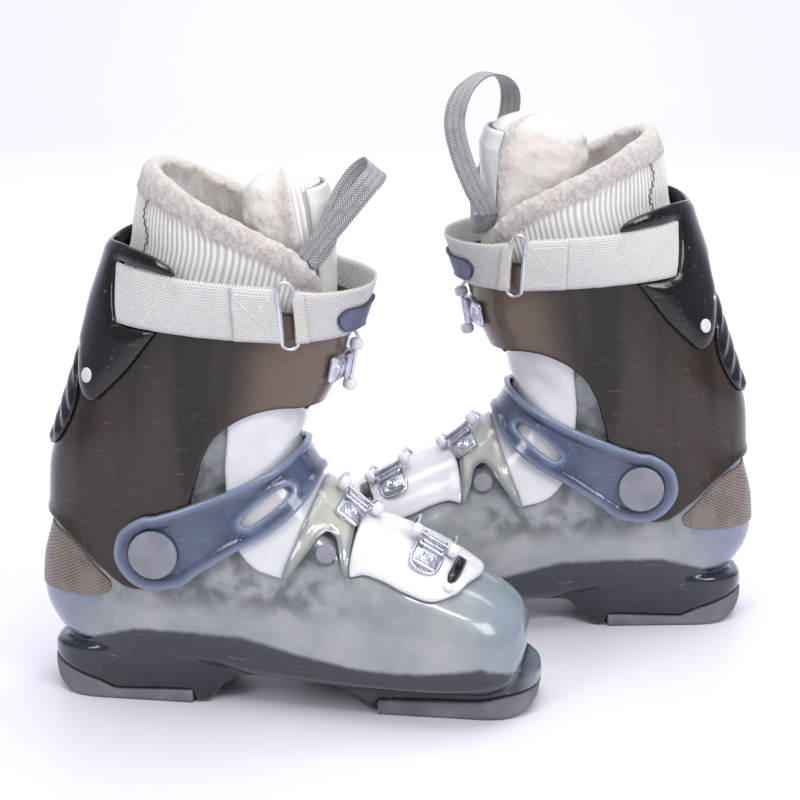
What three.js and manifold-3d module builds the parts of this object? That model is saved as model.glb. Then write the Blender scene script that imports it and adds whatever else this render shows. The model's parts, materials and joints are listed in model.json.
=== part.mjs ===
// A pair of alpine ski boots, standing side by side toe to toe.
// Millimetres, +Z up. Each boot is made in its own frame first: x forward from the heel
// tip, y across (negative on the inner side of the foot), z up from the floor. The right
// boot is the mirror image of the left one.
import * as THREE from 'three';
import { mergeVertices } from 'three/addons/utils/BufferGeometryUtils.js';
import Module from 'manifold-3d';

const wasm = await Module();
wasm.setup();

// ---------------------------------------------------------------- driving dimensions
const SOLE_LENGTH = 300;
const TOE_LUG_HALF_WIDTH = 34.5;
const HEEL_LUG_HALF_WIDTH = 34;
const WAIST_HALF_WIDTH = 29;
const SHELL_WALL = 4;
const LINER_GAP = 1.2;
const LINER_WALL = 5.5;
const PIVOT_X = 76;
const PIVOT_Z = 102;
const PIVOT_DISC_RADIUS = 14.5;
const PIVOT_SHAFT_RADIUS = 4.7;
const PIVOT_HOLE_RADIUS = 5;
const LEVER_TURN = 120;
const BAIL_RATIO = -1.25;
const CUFF_FLEX_MAX = 12;
const RIGHT_LIFT = 450;
const LEFT_YAW = -8.22;
const RIGHT_YAW = 1.94;
const RIGHT_X = 439.1;
const RIGHT_Y = 113.4;

// Layer heights over the shell surface, inner and outer face of each piece.
const TONGUE_IN = 1.0;
const TONGUE_OUT = 3.2;
const TONGUE_DROP = 3.7;
const PLATE_OUT = 5.2;
const FLAP_IN = 4.6;
const FLAP_OUT = 7.0;
const CUFF_IN = 1.0;
const CUFF_OUT = 4.2;
const CUFF_LAP_IN = 5.0;
const CUFF_LAP_OUT = 7.4;
const YOKE_IN = 6.0;
const YOKE_OUT = 9.2;
const DISC_IN = 9.8;
const DISC_OUT = 12.6;
const COLLAR_IN = 5.2;
const COLLAR_OUT = 8.4;
const STRAP_IN = 6.2;
const STRAP_OUT = 8.0;
const STRAP_FRONT_IN = 10.1;
const STRAP_FRONT_OUT = 11.9;

// Ribs of the boot body, toe to leg: the upper (or shin) point x z, the lower (or rear)
// point x z, half width, height share of the widest line, roundness of the upper and
// lower halves, sideways shift of the middle line.
const RIBS = [
  [292, 53, 292, 44, 12, 0.5, 2.0, 2.0, -6],
  [290, 60, 290, 33, 22, 0.5, 2.1, 2.4, -6],
  [284, 68, 285, 23, 32, 0.45, 2.2, 3.0, -5.5],
  [272, 76, 273, 18, 41, 0.42, 2.3, 3.4, -5],
  [255, 84, 256, 18, 47, 0.4, 2.3, 3.6, -4],
  [235, 95, 237, 18, 51, 0.38, 2.2, 3.8, -2.5],
  [215, 103, 216, 18, 53, 0.37, 2.1, 3.8, -1],
  [197, 110, 192, 18, 52, 0.37, 2.1, 3.8, 0],
  [180, 120, 165, 18, 50, 0.38, 2.2, 3.6, 0],
  [167, 130, 135, 18, 47.5, 0.4, 2.3, 3.4, 0],
  [156, 143, 100, 18, 45.5, 0.44, 2.4, 3.2, 0],
  [150, 158, 60, 18, 44.5, 0.48, 2.4, 3.0, 0],
  [154, 172, 22, 24, 44.5, 0.5, 2.4, 2.7, 0],
  [160, 184, -2, 50, 44.5, 0.5, 2.4, 2.5, 0],
  [167, 198, -4, 80, 44.5, 0.5, 2.4, 2.4, 0],
  [173, 212, 3, 110, 45, 0.5, 2.4, 2.3, 0],
  [177, 228, 6, 145, 46, 0.5, 2.3, 2.3, 0],
  [182, 243, 15, 172, 47.5, 0.5, 2.3, 2.2, 0],
  [187, 257, 27, 206, 49.5, 0.5, 2.2, 2.2, 0],
  [190, 268, 37, 238, 51, 0.5, 2.2, 2.2, 0],
  [190, 280, 50, 274, 51.5, 0.5, 2.2, 2.2, 0],
  [186, 295, 53, 292, 50, 0.5, 2.2, 2.2, 0],
  [180, 311, 56, 308, 48, 0.5, 2.2, 2.2, 0],
  [172, 325, 60, 322, 46, 0.5, 2.2, 2.2, 0],
];
const LAST = RIBS.length - 1;
const PI = Math.PI;

// ---------------------------------------------------------------- body surface
function rib(s) {
  const t = Math.min(Math.max(s, 0), LAST);
  const i = Math.min(Math.floor(t), LAST - 1);
  const f = t - i;
  const a = RIBS[Math.max(i - 1, 0)];
  const b = RIBS[i];
  const c = RIBS[i + 1];
  const d = RIBS[Math.min(i + 2, LAST)];
  const out = [];
  for (let k = 0; k < 9; k += 1) {
    const p = 2 * b[k];
    const q = c[k] - a[k];
    const r = 2 * a[k] - 5 * b[k] + 4 * c[k] - d[k];
    const u = 3 * b[k] - a[k] - 3 * c[k] + d[k];
    out.push(0.5 * (p + q * f + r * f * f + u * f * f * f));
  }
  return out;
}

// Share of the way from the lower to the upper rib point at angle phi.
function share(phi, c, nt, nb) {
  const co = Math.cos(phi);
  if (co >= 0) return c + (1 - c) * Math.pow(co, 2 / nt);
  return c - c * Math.pow(-co, 2 / nb);
}

// Point of the body surface, drawn in by inset within the rib plane.
function body(s, phi, inset = 0) {
  const [ax, az, bx, bz, w, c, nt, nb, yc] = rib(s);
  const len = Math.hypot(ax - bx, az - bz);
  const ux = (ax - bx) / len;
  const uz = (az - bz) / len;
  const si = Math.sin(phi);
  const n = Math.cos(phi) >= 0 ? nt : nb;
  const g = inset + (len - 2 * inset) * share(phi, c, nt, nb);
  const half = Math.max(w - inset, 1);
  const y = yc + half * Math.sign(si) * Math.pow(Math.abs(si), 2 / n);
  return new THREE.Vector3(bx + ux * g, y, bz + uz * g);
}

function normal(s, phi) {
  const e = 0.03;
  const a = body(s + e, phi).sub(body(s - e, phi));
  const b = body(s, phi + e).sub(body(s, phi - e));
  const n = a.cross(b).normalize();
  const r = rib(s);
  const mid = new THREE.Vector3((r[0] + r[2]) / 2, r[8], (r[1] + r[3]) / 2);
  if (n.dot(body(s, phi).sub(mid)) < 0) n.negate();
  return n;
}

// Point at height d over the body surface.
function over(s, phi, d) {
  return body(s, phi).addScaledVector(normal(s, phi), d);
}

// Point at a depth inside the surface: straight in at the front of the leg, where the
// ribs lie aslant, and within the rib plane elsewhere.
function inside(s, phi, depth) {
  const smooth = (v) => {
    const u = Math.min(Math.max(v, 0), 1);
    return u * u * (3 - 2 * u);
  };
  const f = smooth(Math.cos(phi) * 1.6) * smooth((s - 8.5) / 1.5);
  return body(s, phi, depth).lerp(over(s, phi, -depth), f);
}

// Rib number and angle of the surface point seen at x, z from the outer side.
function locate(x, z) {
  const side = (s) => {
    const r = rib(s);
    return (r[0] - r[2]) * (z - r[3]) - (r[1] - r[3]) * (x - r[2]);
  };
  let best = null;
  for (let s = 0; s < LAST; s += 0.05) {
    if (side(s) * side(s + 0.05) > 0) continue;
    let lo = s;
    let hi = s + 0.05;
    for (let k = 0; k < 30; k += 1) {
      const m = (lo + hi) / 2;
      if (side(lo) * side(m) <= 0) hi = m;
      else lo = m;
    }
    const r = rib(lo);
    const dx = r[0] - r[2];
    const dz = r[1] - r[3];
    const g = ((x - r[2]) * dx + (z - r[3]) * dz) / (dx * dx + dz * dz);
    const miss = Math.max(0, -g, g - 1);
    if (best === null || miss < best.miss) best = { s: lo, g, miss, r };
  }
  const { s, r } = best;
  const g = Math.min(Math.max(best.g, 0), 1);
  const c = r[5];
  if (g >= c) return [s, Math.acos(Math.pow((g - c) / (1 - c), r[6] / 2))];
  return [s, Math.acos(-Math.pow((c - g) / c, r[7] / 2))];
}

// Rib whose upper (k = 1) or lower (k = 3) point lies at height z.
function ribAtHeight(k, z, from) {
  let lo = from;
  let hi = LAST;
  for (let i = 0; i < 40; i += 1) {
    const m = (lo + hi) / 2;
    if (rib(m)[k] < z) lo = m;
    else hi = m;
  }
  return lo;
}
const front = (z) => [ribAtHeight(1, z, 0), 0];
const rear = (z) => [ribAtHeight(3, z, 11), PI];
const mirrorKey = ([s, phi]) => [s, 2 * PI - phi];
const negateKey = ([s, phi]) => [s, -phi];

// ---------------------------------------------------------------- mesh helpers
function indexed(points, faces) {
  const g = new THREE.BufferGeometry();
  const pos = new Float32Array(points.length * 3);
  points.forEach((p, i) => pos.set([p.x, p.y, p.z], i * 3));
  let vol = 0;
  for (const [a, b, c] of faces) {
    vol += points[a].dot(new THREE.Vector3().crossVectors(points[b], points[c]));
  }
  const flat = [];
  for (const [a, b, c] of faces) {
    if (vol > 0) flat.push(a, b, c);
    else flat.push(a, c, b);
  }
  g.setAttribute('position', new THREE.BufferAttribute(pos, 3));
  g.setIndex(flat);
  return g;
}

// Closed slab over a grid: at(i, j, k) gives the point, k = 0 inner and 1 outer face.
function slab(nu, nv, at) {
  const points = [];
  const faces = [];
  const id = (i, j, k) => (k * (nu + 1) + i) * (nv + 1) + j;
  for (let k = 0; k < 2; k += 1) {
    for (let i = 0; i <= nu; i += 1) {
      for (let j = 0; j <= nv; j += 1) points.push(at(i, j, k));
    }
  }
  const quad = (a, b, c, d) => faces.push([a, b, c], [a, c, d]);
  for (let i = 0; i < nu; i += 1) {
    for (let j = 0; j < nv; j += 1) {
      quad(id(i, j, 1), id(i + 1, j, 1), id(i + 1, j + 1, 1), id(i, j + 1, 1));
      quad(id(i, j, 0), id(i, j + 1, 0), id(i + 1, j + 1, 0), id(i + 1, j, 0));
    }
    quad(id(i, 0, 0), id(i + 1, 0, 0), id(i + 1, 0, 1), id(i, 0, 1));
    quad(id(i, nv, 0), id(i, nv, 1), id(i + 1, nv, 1), id(i + 1, nv, 0));
  }
  for (let j = 0; j < nv; j += 1) {
    quad(id(0, j, 0), id(0, j, 1), id(0, j + 1, 1), id(0, j + 1, 0));
    quad(id(nu, j, 0), id(nu, j + 1, 0), id(nu, j + 1, 1), id(nu, j, 1));
  }
  return indexed(points, faces);
}

// Closed loft of rings, each a list of points of equal length.
function loft(rings, closedPath = false) {
  const n = rings[0].length;
  const points = rings.flat();
  const faces = [];
  const last = closedPath ? rings.length : rings.length - 1;
  for (let i = 0; i < last; i += 1) {
    const a = i * n;
    const b = ((i + 1) % rings.length) * n;
    for (let j = 0; j < n; j += 1) {
      const k = (j + 1) % n;
      faces.push([a + j, b + j, b + k], [a + j, b + k, a + k]);
    }
  }
  if (!closedPath) {
    for (const [r, flip] of [[0, true], [rings.length - 1, false]]) {
      const mid = new THREE.Vector3();
      rings[r].forEach((p) => mid.addScaledVector(p, 1 / n));
      const m = points.push(mid) - 1;
      for (let j = 0; j < n; j += 1) {
        const k = (j + 1) % n;
        if (flip) faces.push([m, r * n + j, r * n + k]);
        else faces.push([m, r * n + k, r * n + j]);
      }
    }
  }
  return indexed(points, faces);
}

function toSolid(geometry) {
  const g = geometry.clone();
  g.deleteAttribute('normal');
  g.deleteAttribute('uv');
  const m = mergeVertices(g, 1e-4);
  return new wasm.Manifold(new wasm.Mesh({
    numProp: 3,
    vertProperties: new Float32Array(m.attributes.position.array),
    triVerts: new Uint32Array(m.index.array),
  }));
}

function fromSolid(solid) {
  const m = solid.getMesh();
  const g = new THREE.BufferGeometry();
  g.setAttribute('position', new THREE.BufferAttribute(new Float32Array(m.vertProperties), 3));
  g.setIndex(Array.from(m.triVerts));
  return g;
}

// Plate with a side-view outline of x, z pairs, between two y values.
function sidePlate(outline, y0, y1) {
  const shape = new THREE.Shape(outline.map(([x, z]) => new THREE.Vector2(x, z)));
  const g = new THREE.ExtrudeGeometry(shape, { depth: y1 - y0, bevelEnabled: false, steps: 1 });
  g.applyMatrix4(new THREE.Matrix4().makeBasis(
    new THREE.Vector3(1, 0, 0),
    new THREE.Vector3(0, 0, 1),
    new THREE.Vector3(0, -1, 0),
  ));
  g.translate(0, y1, 0);
  return g;
}

// Plate with a top-view outline of x, y pairs, between two z values.
function topPlate(outline, z0, z1) {
  const shape = new THREE.Shape(outline.map(([x, y]) => new THREE.Vector2(x, y)));
  const g = new THREE.ExtrudeGeometry(shape, { depth: z1 - z0, bevelEnabled: false, steps: 1 });
  g.translate(0, 0, z0);
  return g;
}

// Round bar between two points.
function bar(p, q, radius, sides) {
  const len = p.distanceTo(q);
  const g = new THREE.CylinderGeometry(radius, radius, len, sides);
  const dir = q.clone().sub(p).normalize();
  const turn = new THREE.Quaternion().setFromUnitVectors(new THREE.Vector3(0, 1, 0), dir);
  g.applyQuaternion(turn);
  g.translate((p.x + q.x) / 2, (p.y + q.y) / 2, (p.z + q.z) / 2);
  return g;
}

// Puts keys between neighbours that stand too far apart round the boot.
function fill(low, high, step = 0.3) {
  const a = [low[0]];
  const b = [high[0]];
  for (let i = 1; i < low.length; i += 1) {
    const wide = Math.max(Math.abs(low[i][1] - low[i - 1][1]), Math.abs(high[i][1] - high[i - 1][1]));
    const n = Math.max(Math.ceil(wide / step - 1e-6), 1);
    for (let j = 1; j <= n; j += 1) {
      const mix = (keys, k) => keys[i - 1][k] + ((keys[i][k] - keys[i - 1][k]) * j) / n;
      a.push([mix(low, 0), mix(low, 1)]);
      b.push([mix(high, 0), mix(high, 1)]);
    }
  }
  return [a, b];
}

// Slab between a lower and an upper edge, both lists of [rib, angle] keys.
function between(lowKeys, highKeys, rows, d) {
  const [low, high] = fill(lowKeys, highKeys);
  const n = low.length - 1;
  return slab(n, rows, (i, j, k) => {
    const v = j / rows;
    const s = low[i][0] + (high[i][0] - low[i][0]) * v;
    const phi = low[i][1] + (high[i][1] - low[i][1]) * v;
    return over(s, phi, d(i / n, v, k, phi));
  });
}

// ---------------------------------------------------------------- shell
function ring(s, count, inset) {
  const out = [];
  for (let j = 0; j < count; j += 1) out.push(body(s, (2 * PI * j) / count, inset));
  return out;
}

function soleOutline() {
  const pts = [];
  const halfAt = (x) => {
    if (x > 262) {
      const u = Math.min((x - 262) / (SOLE_LENGTH - 262), 1);
      return TOE_LUG_HALF_WIDTH * Math.pow(Math.max(1 - Math.pow(u, 2.4), 0), 1 / 2.4);
    }
    if (x < 38) {
      const u = Math.min((38 - x) / 38, 1);
      return HEEL_LUG_HALF_WIDTH * Math.pow(Math.max(1 - Math.pow(u, 2.3), 0), 1 / 2.3);
    }
    if (x < 95 || x > 203) return x < 95 ? HEEL_LUG_HALF_WIDTH : TOE_LUG_HALF_WIDTH;
    const u = (x - 95) / 108;
    const edge = HEEL_LUG_HALF_WIDTH + (TOE_LUG_HALF_WIDTH - HEEL_LUG_HALF_WIDTH) * u;
    return WAIST_HALF_WIDTH + (edge - WAIST_HALF_WIDTH) * Math.pow(Math.abs(2 * u - 1), 3);
  };
  const xs = [0, 1.5, 5, 11, 20, 38, 94, 104, 118, 150, 180, 194, 204, 262, 278, 288, 295, 298.7, 300];
  for (const x of xs) pts.push([x, halfAt(x)]);
  for (const x of xs.slice(1, -1).reverse()) pts.push([x, -halfAt(x)]);
  return pts;
}

const SLAB_SIDE = [
  [-2, 19.5], [3, 19.8], [16, 16], [33, 11.4], [44, 6.6], [92.4, 8.4], [93, 0.6], [103, 0.6], [110, 10],
  [118, 17], [158, 18], [179, 14], [194, 5], [203.4, 0.6], [204.4, 9.4], [266, 11.4],
  [281, 14.4], [302, 15.6], [302, 24], [292, 27], [272, 31], [240, 34], [60, 34],
  [16, 33], [4, 31], [-2, 27],
];
const HEEL_SIDE = [
  [92, 0], [92, 8], [44, 6.2], [33, 11], [16, 15.6], [3, 19.4], [0, 19.2], [1, 13], [6, 6],
  [14, 1.5], [22, 0],
];
const TOE_SIDE = [
  [204.8, 0], [204.8, 9], [266, 11], [281, 14], [300, 15.2], [299, 10], [294, 4], [284, 0.8], [276, 0],
];
// Upper edge of the shell and its opening over the instep, cut away from the body.
const OPENING_SIDE = [
  [-40, 117], [60, 119], [92, 119], [112, 112], [140, 99], [165, 91], [192, 90], [214, 95],
  [222, 101], [226, 140], [240, 330], [-40, 330],
];
const INSERT_LOW = [[5, 67], [20, 67.5], [34, 69], [46, 73]];
const INSERT_HIGH = [[16, 105], [26, 99], [36, 90], [47, 80]];

function insertSlab(inner, outer, grow) {
  const low = [rear(67 - grow)];
  const high = [rear(109 + grow)];
  INSERT_LOW.forEach(([x, z]) => low.push(locate(x + grow * 0.6, z - grow)));
  INSERT_HIGH.forEach(([x, z]) => high.push(locate(x + grow * 0.6, z + grow)));
  const lowAll = [...low.slice(1).reverse(), low[0], ...low.slice(1).map(mirrorKey)];
  const highAll = [...high.slice(1).reverse(), high[0], ...high.slice(1).map(mirrorKey)];
  return between(lowAll, highAll, 3, (u, v, k) => (k ? outer : inner));
}

function shaftCut(radius, y0, y1) {
  const p = new THREE.Vector3(PIVOT_X, y0, PIVOT_Z);
  const q = new THREE.Vector3(PIVOT_X, y1, PIVOT_Z);
  return bar(p, q, radius, 12);
}

function lowerShell() {
  const outer = [];
  for (const s of [0, 0.6, 1.3, 2.2, 3.2, 4.5, 6, 7.5, 9, 10, 11, 12, 13, 14, 15, 15.8]) {
    outer.push(ring(s, 26, 0));
  }
  const inner = [];
  for (const s of [1.3, 2, 3.2, 4.5, 6, 7.5, 9, 10.5, 12, 13.2, 14.8, 16.5]) {
    inner.push(ring(s, 20, SHELL_WALL));
  }
  const slabSolid = toSolid(sidePlate(SLAB_SIDE, -45, 45)).intersect(toSolid(topPlate(soleOutline(), -5, 40)));
  let solid = toSolid(loft(outer)).add(slabSolid);
  solid = solid.subtract(toSolid(loft(inner)));
  solid = solid.subtract(toSolid(sidePlate(OPENING_SIDE, -90, 90)));
  solid = solid.subtract(toSolid(insertSlab(-1.7, 3, 0.5)));
  solid = solid.subtract(toSolid(shaftCut(PIVOT_HOLE_RADIUS, -90, 90)));
  return fromSolid(solid);
}

function pad(side) {
  const solid = toSolid(sidePlate(side, -45, 45)).intersect(toSolid(topPlate(soleOutline(), -5, 40)));
  return fromSolid(solid);
}

// Piece between two ribs, reaching a given angle to each side at each rib.
function band(stations, columns, d) {
  return slab(stations.length - 1, columns, (i, j, k) => {
    const [s, inner, outerSide] = stations[i];
    const phi = -inner + ((inner + outerSide) * j) / columns;
    return over(s, phi, d(s, phi, k));
  });
}

const PLATE_EDGE = [[256, 80], [250, 78], [238, 76.5], [223, 81], [208, 87], [198, 90], [189, 89]];

function toePlate() {
  const list = [[ribAtHeight(1, 79.5, 0), 0.25, 0.25]];
  for (const [x, z] of PLATE_EDGE) {
    const [s, phi] = locate(x, z);
    list.push([s, phi, Math.min(phi, 0.42)]);
  }
  list.sort((p, q) => p[0] - q[0]);
  return band(list, 9, (s, phi, k) => (k ? PLATE_OUT - 0.9 * phi * phi : TONGUE_IN));
}

const TONGUE_EDGE = [
  [178, 91], [166, 88], [154, 88.5], [145, 89], [134, 93], [123, 104], [108, 119], [99, 142],
  [101, 168], [109, 190], [126, 220],
];

function shellTongue() {
  const list = TONGUE_EDGE.map(([x, z]) => {
    const [s, phi] = locate(x, z);
    return [s, phi, phi];
  });
  list.sort((p, q) => p[0] - q[0]);
    return band(list, 10, (s, phi, k) => {
    const f = Math.min(Math.max((s - 11.9) / 1.3, 0), 1);
    return (k ? TONGUE_OUT : TONGUE_IN) - TONGUE_DROP * f * f * (3 - 2 * f);
  });
}

const FLAP_LOW = [
  [154, 91], [159, 95], [165.5, 103.5], [171, 109.5], [177, 109.5], [181.5, 102], [186, 93],
];
const FLAP_RIDGE = [132.5, 130, 127, 123.8, 120.8, 118.2, 116];

function instepFlap() {
  const low = FLAP_LOW.map(([x, z]) => negateKey(locate(x, z)));
  const high = FLAP_RIDGE.map((z) => [front(z)[0], 0.6]);
  return between(low, high, 9, (u, v, k) => (k ? FLAP_OUT : FLAP_IN));
}

const YOKE_HIGH = [
  [143, 155.5], [134, 149], [120, 141.5], [103, 134.5], [84, 127], [70, 124.5], [58, 117], [52.8, 106],
];
const YOKE_LOW = [
  [160, 129], [153, 121], [142, 113], [122, 102.5], [101, 89], [84, 79.8], [68, 79.8], [56, 89.7],
];

function yokeKeys(ridgeHigh, ridgeLow) {
  const high = [front(ridgeHigh), ...YOKE_HIGH.map(([x, z]) => locate(x, z))];
  const low = [front(ridgeLow), ...YOKE_LOW.map(([x, z]) => locate(x, z))];
  const both = (keys) => [...keys.slice(1).reverse().map(negateKey), ...keys];
  return [both(low), both(high)];
}

const SLOT_SIDE = [
  [126, 123.5], [127.5, 118.5], [131.5, 118.3], [149, 131], [150.5, 135], [146.5, 137.5],
];

function instepYoke() {
  const [low, high] = yokeKeys(160, 135);
  const solid = toSolid(between(low, high, 2, (u, v, k) => (k ? YOKE_OUT : YOKE_IN)));
  const cut = toSolid(sidePlate(SLOT_SIDE, -90, 90));
  const hole = toSolid(shaftCut(PIVOT_HOLE_RADIUS, -90, 90));
  return fromSolid(solid.subtract(cut).subtract(hole));
}

function pivot(sign) {
  const [s, phi] = locate(PIVOT_X, PIVOT_Z);
  const wall = over(s, phi, 0).y;
  const at = (h) => new THREE.Vector3(PIVOT_X, sign * (wall + h), PIVOT_Z);
  const disc = bar(at(DISC_IN), at(DISC_OUT), PIVOT_DISC_RADIUS, 22);
  const shaft = bar(at(-SHELL_WALL + 0.4), at(DISC_IN + 1), PIVOT_SHAFT_RADIUS, 12);
  return fromSolid(toSolid(disc).add(toSolid(shaft)));
}

// ---------------------------------------------------------------- cuff and its pieces
const CUFF_LOW = [
  [157, 190], [147, 190], [133, 186.5], [122, 181], [112, 173], [105, 160], [99, 140], [97, 118],
  [93, 95], [82, 82], [68, 77.5], [56, 79], [44, 88], [31, 99], [21, 106], [11, 111],
];
const CUFF_HIGH = [
  [175, 247], [162, 247.5], [150, 248], [139, 248.5], [129, 249], [120, 249.5], [110, 250], [101, 250.5],
  [93, 251], [85, 251], [77, 251], [69, 251], [62, 251], [55, 250.5], [49, 250], [45, 249.6],
];

function cuff() {
  const low = [front(188), ...CUFF_LOW.map(([x, z]) => locate(x, z))];
  const high = [front(247), ...CUFF_HIGH.map(([x, z]) => locate(x, z))];
  const around = (keys, rearKey) => {
    const lap = 0.34;
    const list = [[keys[0][0], -lap], [keys[0][0], -lap / 2], ...keys, rearKey];
    list.push(...keys.slice(1).reverse().map(mirrorKey), [keys[0][0], 2 * PI]);
    list.push([keys[0][0], 2 * PI + lap / 2], [keys[0][0], 2 * PI + lap]);
    return list;
  };
  const low2 = around(low, rear(113));
  const high2 = around(high, rear(249));
  const g = between(low2, high2, 4, (u, v, k, phi) => {
    const lift = Math.min(Math.max((phi - (2 * PI - 1.0)) / 0.45, 0), 1);
    const inner = CUFF_IN + (CUFF_LAP_IN - CUFF_IN) * lift;
    const outer = CUFF_OUT + (CUFF_LAP_OUT - CUFF_OUT) * lift;
    return k ? outer : inner;
  });
  const hole = toSolid(shaftCut(PIVOT_HOLE_RADIUS, -90, 90));
  return fromSolid(toSolid(g).subtract(hole));
}

const COLLAR_LOW = [
  [22, 169], [31, 181], [41, 190], [50, 197.5], [64, 212], [76, 228], [84, 246], [90, 262],
];
const COLLAR_HIGH = [
  [57, 281], [61, 281.5], [66, 281], [71, 280], [77, 278.5], [82, 277], [87, 274], [91, 269.5],
];
const STRAP_SLOT = [[59, 235.5], [120, 231], [120, 268], [92, 269], [59, 272.5]];

function rearCollar() {
  const low = [rear(160), ...COLLAR_LOW.map(([x, z]) => locate(x, z))];
  const high = [rear(279), ...COLLAR_HIGH.map(([x, z]) => locate(x, z))];
  const both = (keys) => [...keys.slice(1).reverse(), ...keys.map(mirrorKey)];
  const g = between(both(low), both(high), 5, (u, v, k) => (k ? COLLAR_OUT : COLLAR_IN));
  return fromSolid(toSolid(g).subtract(toSolid(sidePlate(STRAP_SLOT, -90, 90))));
}

const STRAP_HIGH = [[170, 262], [152, 264.5], [138, 265.5], [124, 266.3], [110, 267], [96, 267.8], [80, 268.8], [66, 270.2]];
const STRAP_LOW = [[176, 233], [160, 233], [145, 233], [130, 233.6], [115, 234.4], [98, 235.6], [80, 236.6], [66, 237.4]];

function strapHeight(phi, k) {
  const a = Math.abs(phi);
  const f = Math.min(Math.max((1.25 - a) / 0.45, 0), 1);
  const inner = STRAP_IN + (STRAP_FRONT_IN - STRAP_IN) * f;
  const outer = STRAP_OUT + (STRAP_FRONT_OUT - STRAP_OUT) * f;
  return k ? outer : inner;
}

function powerStrap() {
  const low = [front(233), ...STRAP_LOW.map(([x, z]) => locate(x, z))];
  const high = [front(262), ...STRAP_HIGH.map(([x, z]) => locate(x, z))];
  const both = (keys) => [...keys.slice(1).reverse().map(negateKey), ...keys];
  return between(both(low), both(high), 1, (u, v, k, phi) => strapHeight(phi, k));
}

function wireLoop(path, radius, sides) {
  const n = path.length;
  const rings = [];
  const mid = new THREE.Vector3();
  path.forEach((p) => mid.addScaledVector(p, 1 / n));
  const up = new THREE.Vector3();
  for (let i = 0; i < n; i += 1) {
    const a = path[i].clone().sub(mid);
    const b = path[(i + 1) % n].clone().sub(mid);
    up.add(a.cross(b));
  }
  up.normalize();
  for (let i = 0; i < n; i += 1) {
    const t0 = path[i].clone().sub(path[(i + n - 1) % n]).normalize();
    const t1 = path[(i + 1) % n].clone().sub(path[i]).normalize();
    const t = t0.clone().add(t1).normalize();
    const side = new THREE.Vector3().crossVectors(t, up).normalize();
    const top = new THREE.Vector3().crossVectors(side, t).normalize();
    const stretch = 1 / Math.max(t.dot(t1), 0.7);
    const pts = [];
    for (let j = 0; j < sides; j += 1) {
      const w = (2 * PI * (j + 0.5)) / sides;
      const p = path[i].clone().addScaledVector(side, radius * stretch * Math.cos(w));
      pts.push(p.addScaledVector(top, radius * Math.sin(w)));
    }
    rings.push(pts);
  }
  return loft(rings, true);
}

function strapRing() {
  const corners = [[148, 229.5], [158.5, 229.5], [158.5, 267.5], [148, 267.5]];
  const path = [];
  for (let i = 0; i < 4; i += 1) {
    const [x0, z0] = corners[i];
    const [x1, z1] = corners[(i + 1) % 4];
    for (const f of i % 2 ? [0.08, 0.36, 0.64, 0.92] : [0.22, 0.78]) {
      const [s, phi] = locate(x0 + (x1 - x0) * f, z0 + (z1 - z0) * f);
      path.push(over(s, -phi, 13.7));
    }
  }
  return wireLoop(path, 1.2, 6);
}

// ---------------------------------------------------------------- liner
function linerTop(phi) {
  const a = Math.abs(phi > PI ? phi - 2 * PI : phi);
  const keys = [[0, 14.6], [0.55, 14.6], [0.78, 18.6], [1.1, 19.4], [1.6, 20.8], [2.2, 22.3], [PI, 22.8]];
  let i = 1;
  while (a > keys[i][0] && i < keys.length - 1) i += 1;
  const f = (a - keys[i - 1][0]) / (keys[i][0] - keys[i - 1][0]);
  return keys[i - 1][1] + (keys[i][1] - keys[i - 1][1]) * Math.min(f, 1);
}

function liner() {
  const low = [2, 3.2, 4.5, 6, 7.5, 9, 10.5, 12, 13.2];
  const count = 20;
  const phis = [];
  for (let j = 0; j < count; j += 1) phis.push((2 * PI * j) / count);
  const rows = (inset, first) => {
    const out = [];
    for (const s of low) {
      if (s >= first) out.push(phis.map((p) => inside(s, p, inset)));
    }
    for (const v of [0.25, 0.5, 0.78, 1]) {
      out.push(phis.map((p) => inside(13.2 + (linerTop(p) - 13.2) * v, p, inset)));
    }
    return out;
  };
  const outer = rows(SHELL_WALL + LINER_GAP, 0);
  const inner = rows(SHELL_WALL + LINER_GAP + LINER_WALL, 2);
  return loft([...outer, ...inner.reverse()]);
}

// Padded tongue: rounded sections along a line inside the leg opening, [x, z, half depth, half width].
function linerTongue(route) {
  const rings = route.map(([x, z, hx, hy], i) => {
    const [xa, za] = route[Math.max(i - 1, 0)];
    const [xb, zb] = route[Math.min(i + 1, route.length - 1)];
    const len = Math.hypot(xb - xa, zb - za);
    const tx = (xb - xa) / len;
    const tz = (zb - za) / len;
    const pts = [];
    for (let j = 0; j < 14; j += 1) {
      const w = (2 * PI * j) / 14;
      const c = Math.cos(w);
      const d = Math.sin(w);
      const r = (Math.abs(c) ** 2.6 + Math.abs(d) ** 2.6) ** (-1 / 2.6);
      pts.push(new THREE.Vector3(x + hx * c * r * tz, hy * d * r - 1, z - hx * c * r * tx));
    }
    return pts;
  });
  return loft(rings);
}
const TONGUE_LEFT = [
  [160, 238, 12, 19], [158, 255, 15, 22], [154, 271, 19, 24.5], [150, 287, 22.5, 26],
  [147, 300, 24, 26], [145.5, 311, 21, 23.5], [144.5, 318, 15, 17], [144, 322, 7, 9],
];
const TONGUE_RIGHT = [
  [160, 238, 12, 19], [158, 256, 15, 22], [153.5, 274, 20, 25], [147.5, 292, 28, 27],
  [142.5, 308, 33, 28], [141, 322, 30, 26], [140.5, 331, 21, 19], [140.5, 335.5, 10, 10],
];

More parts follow.
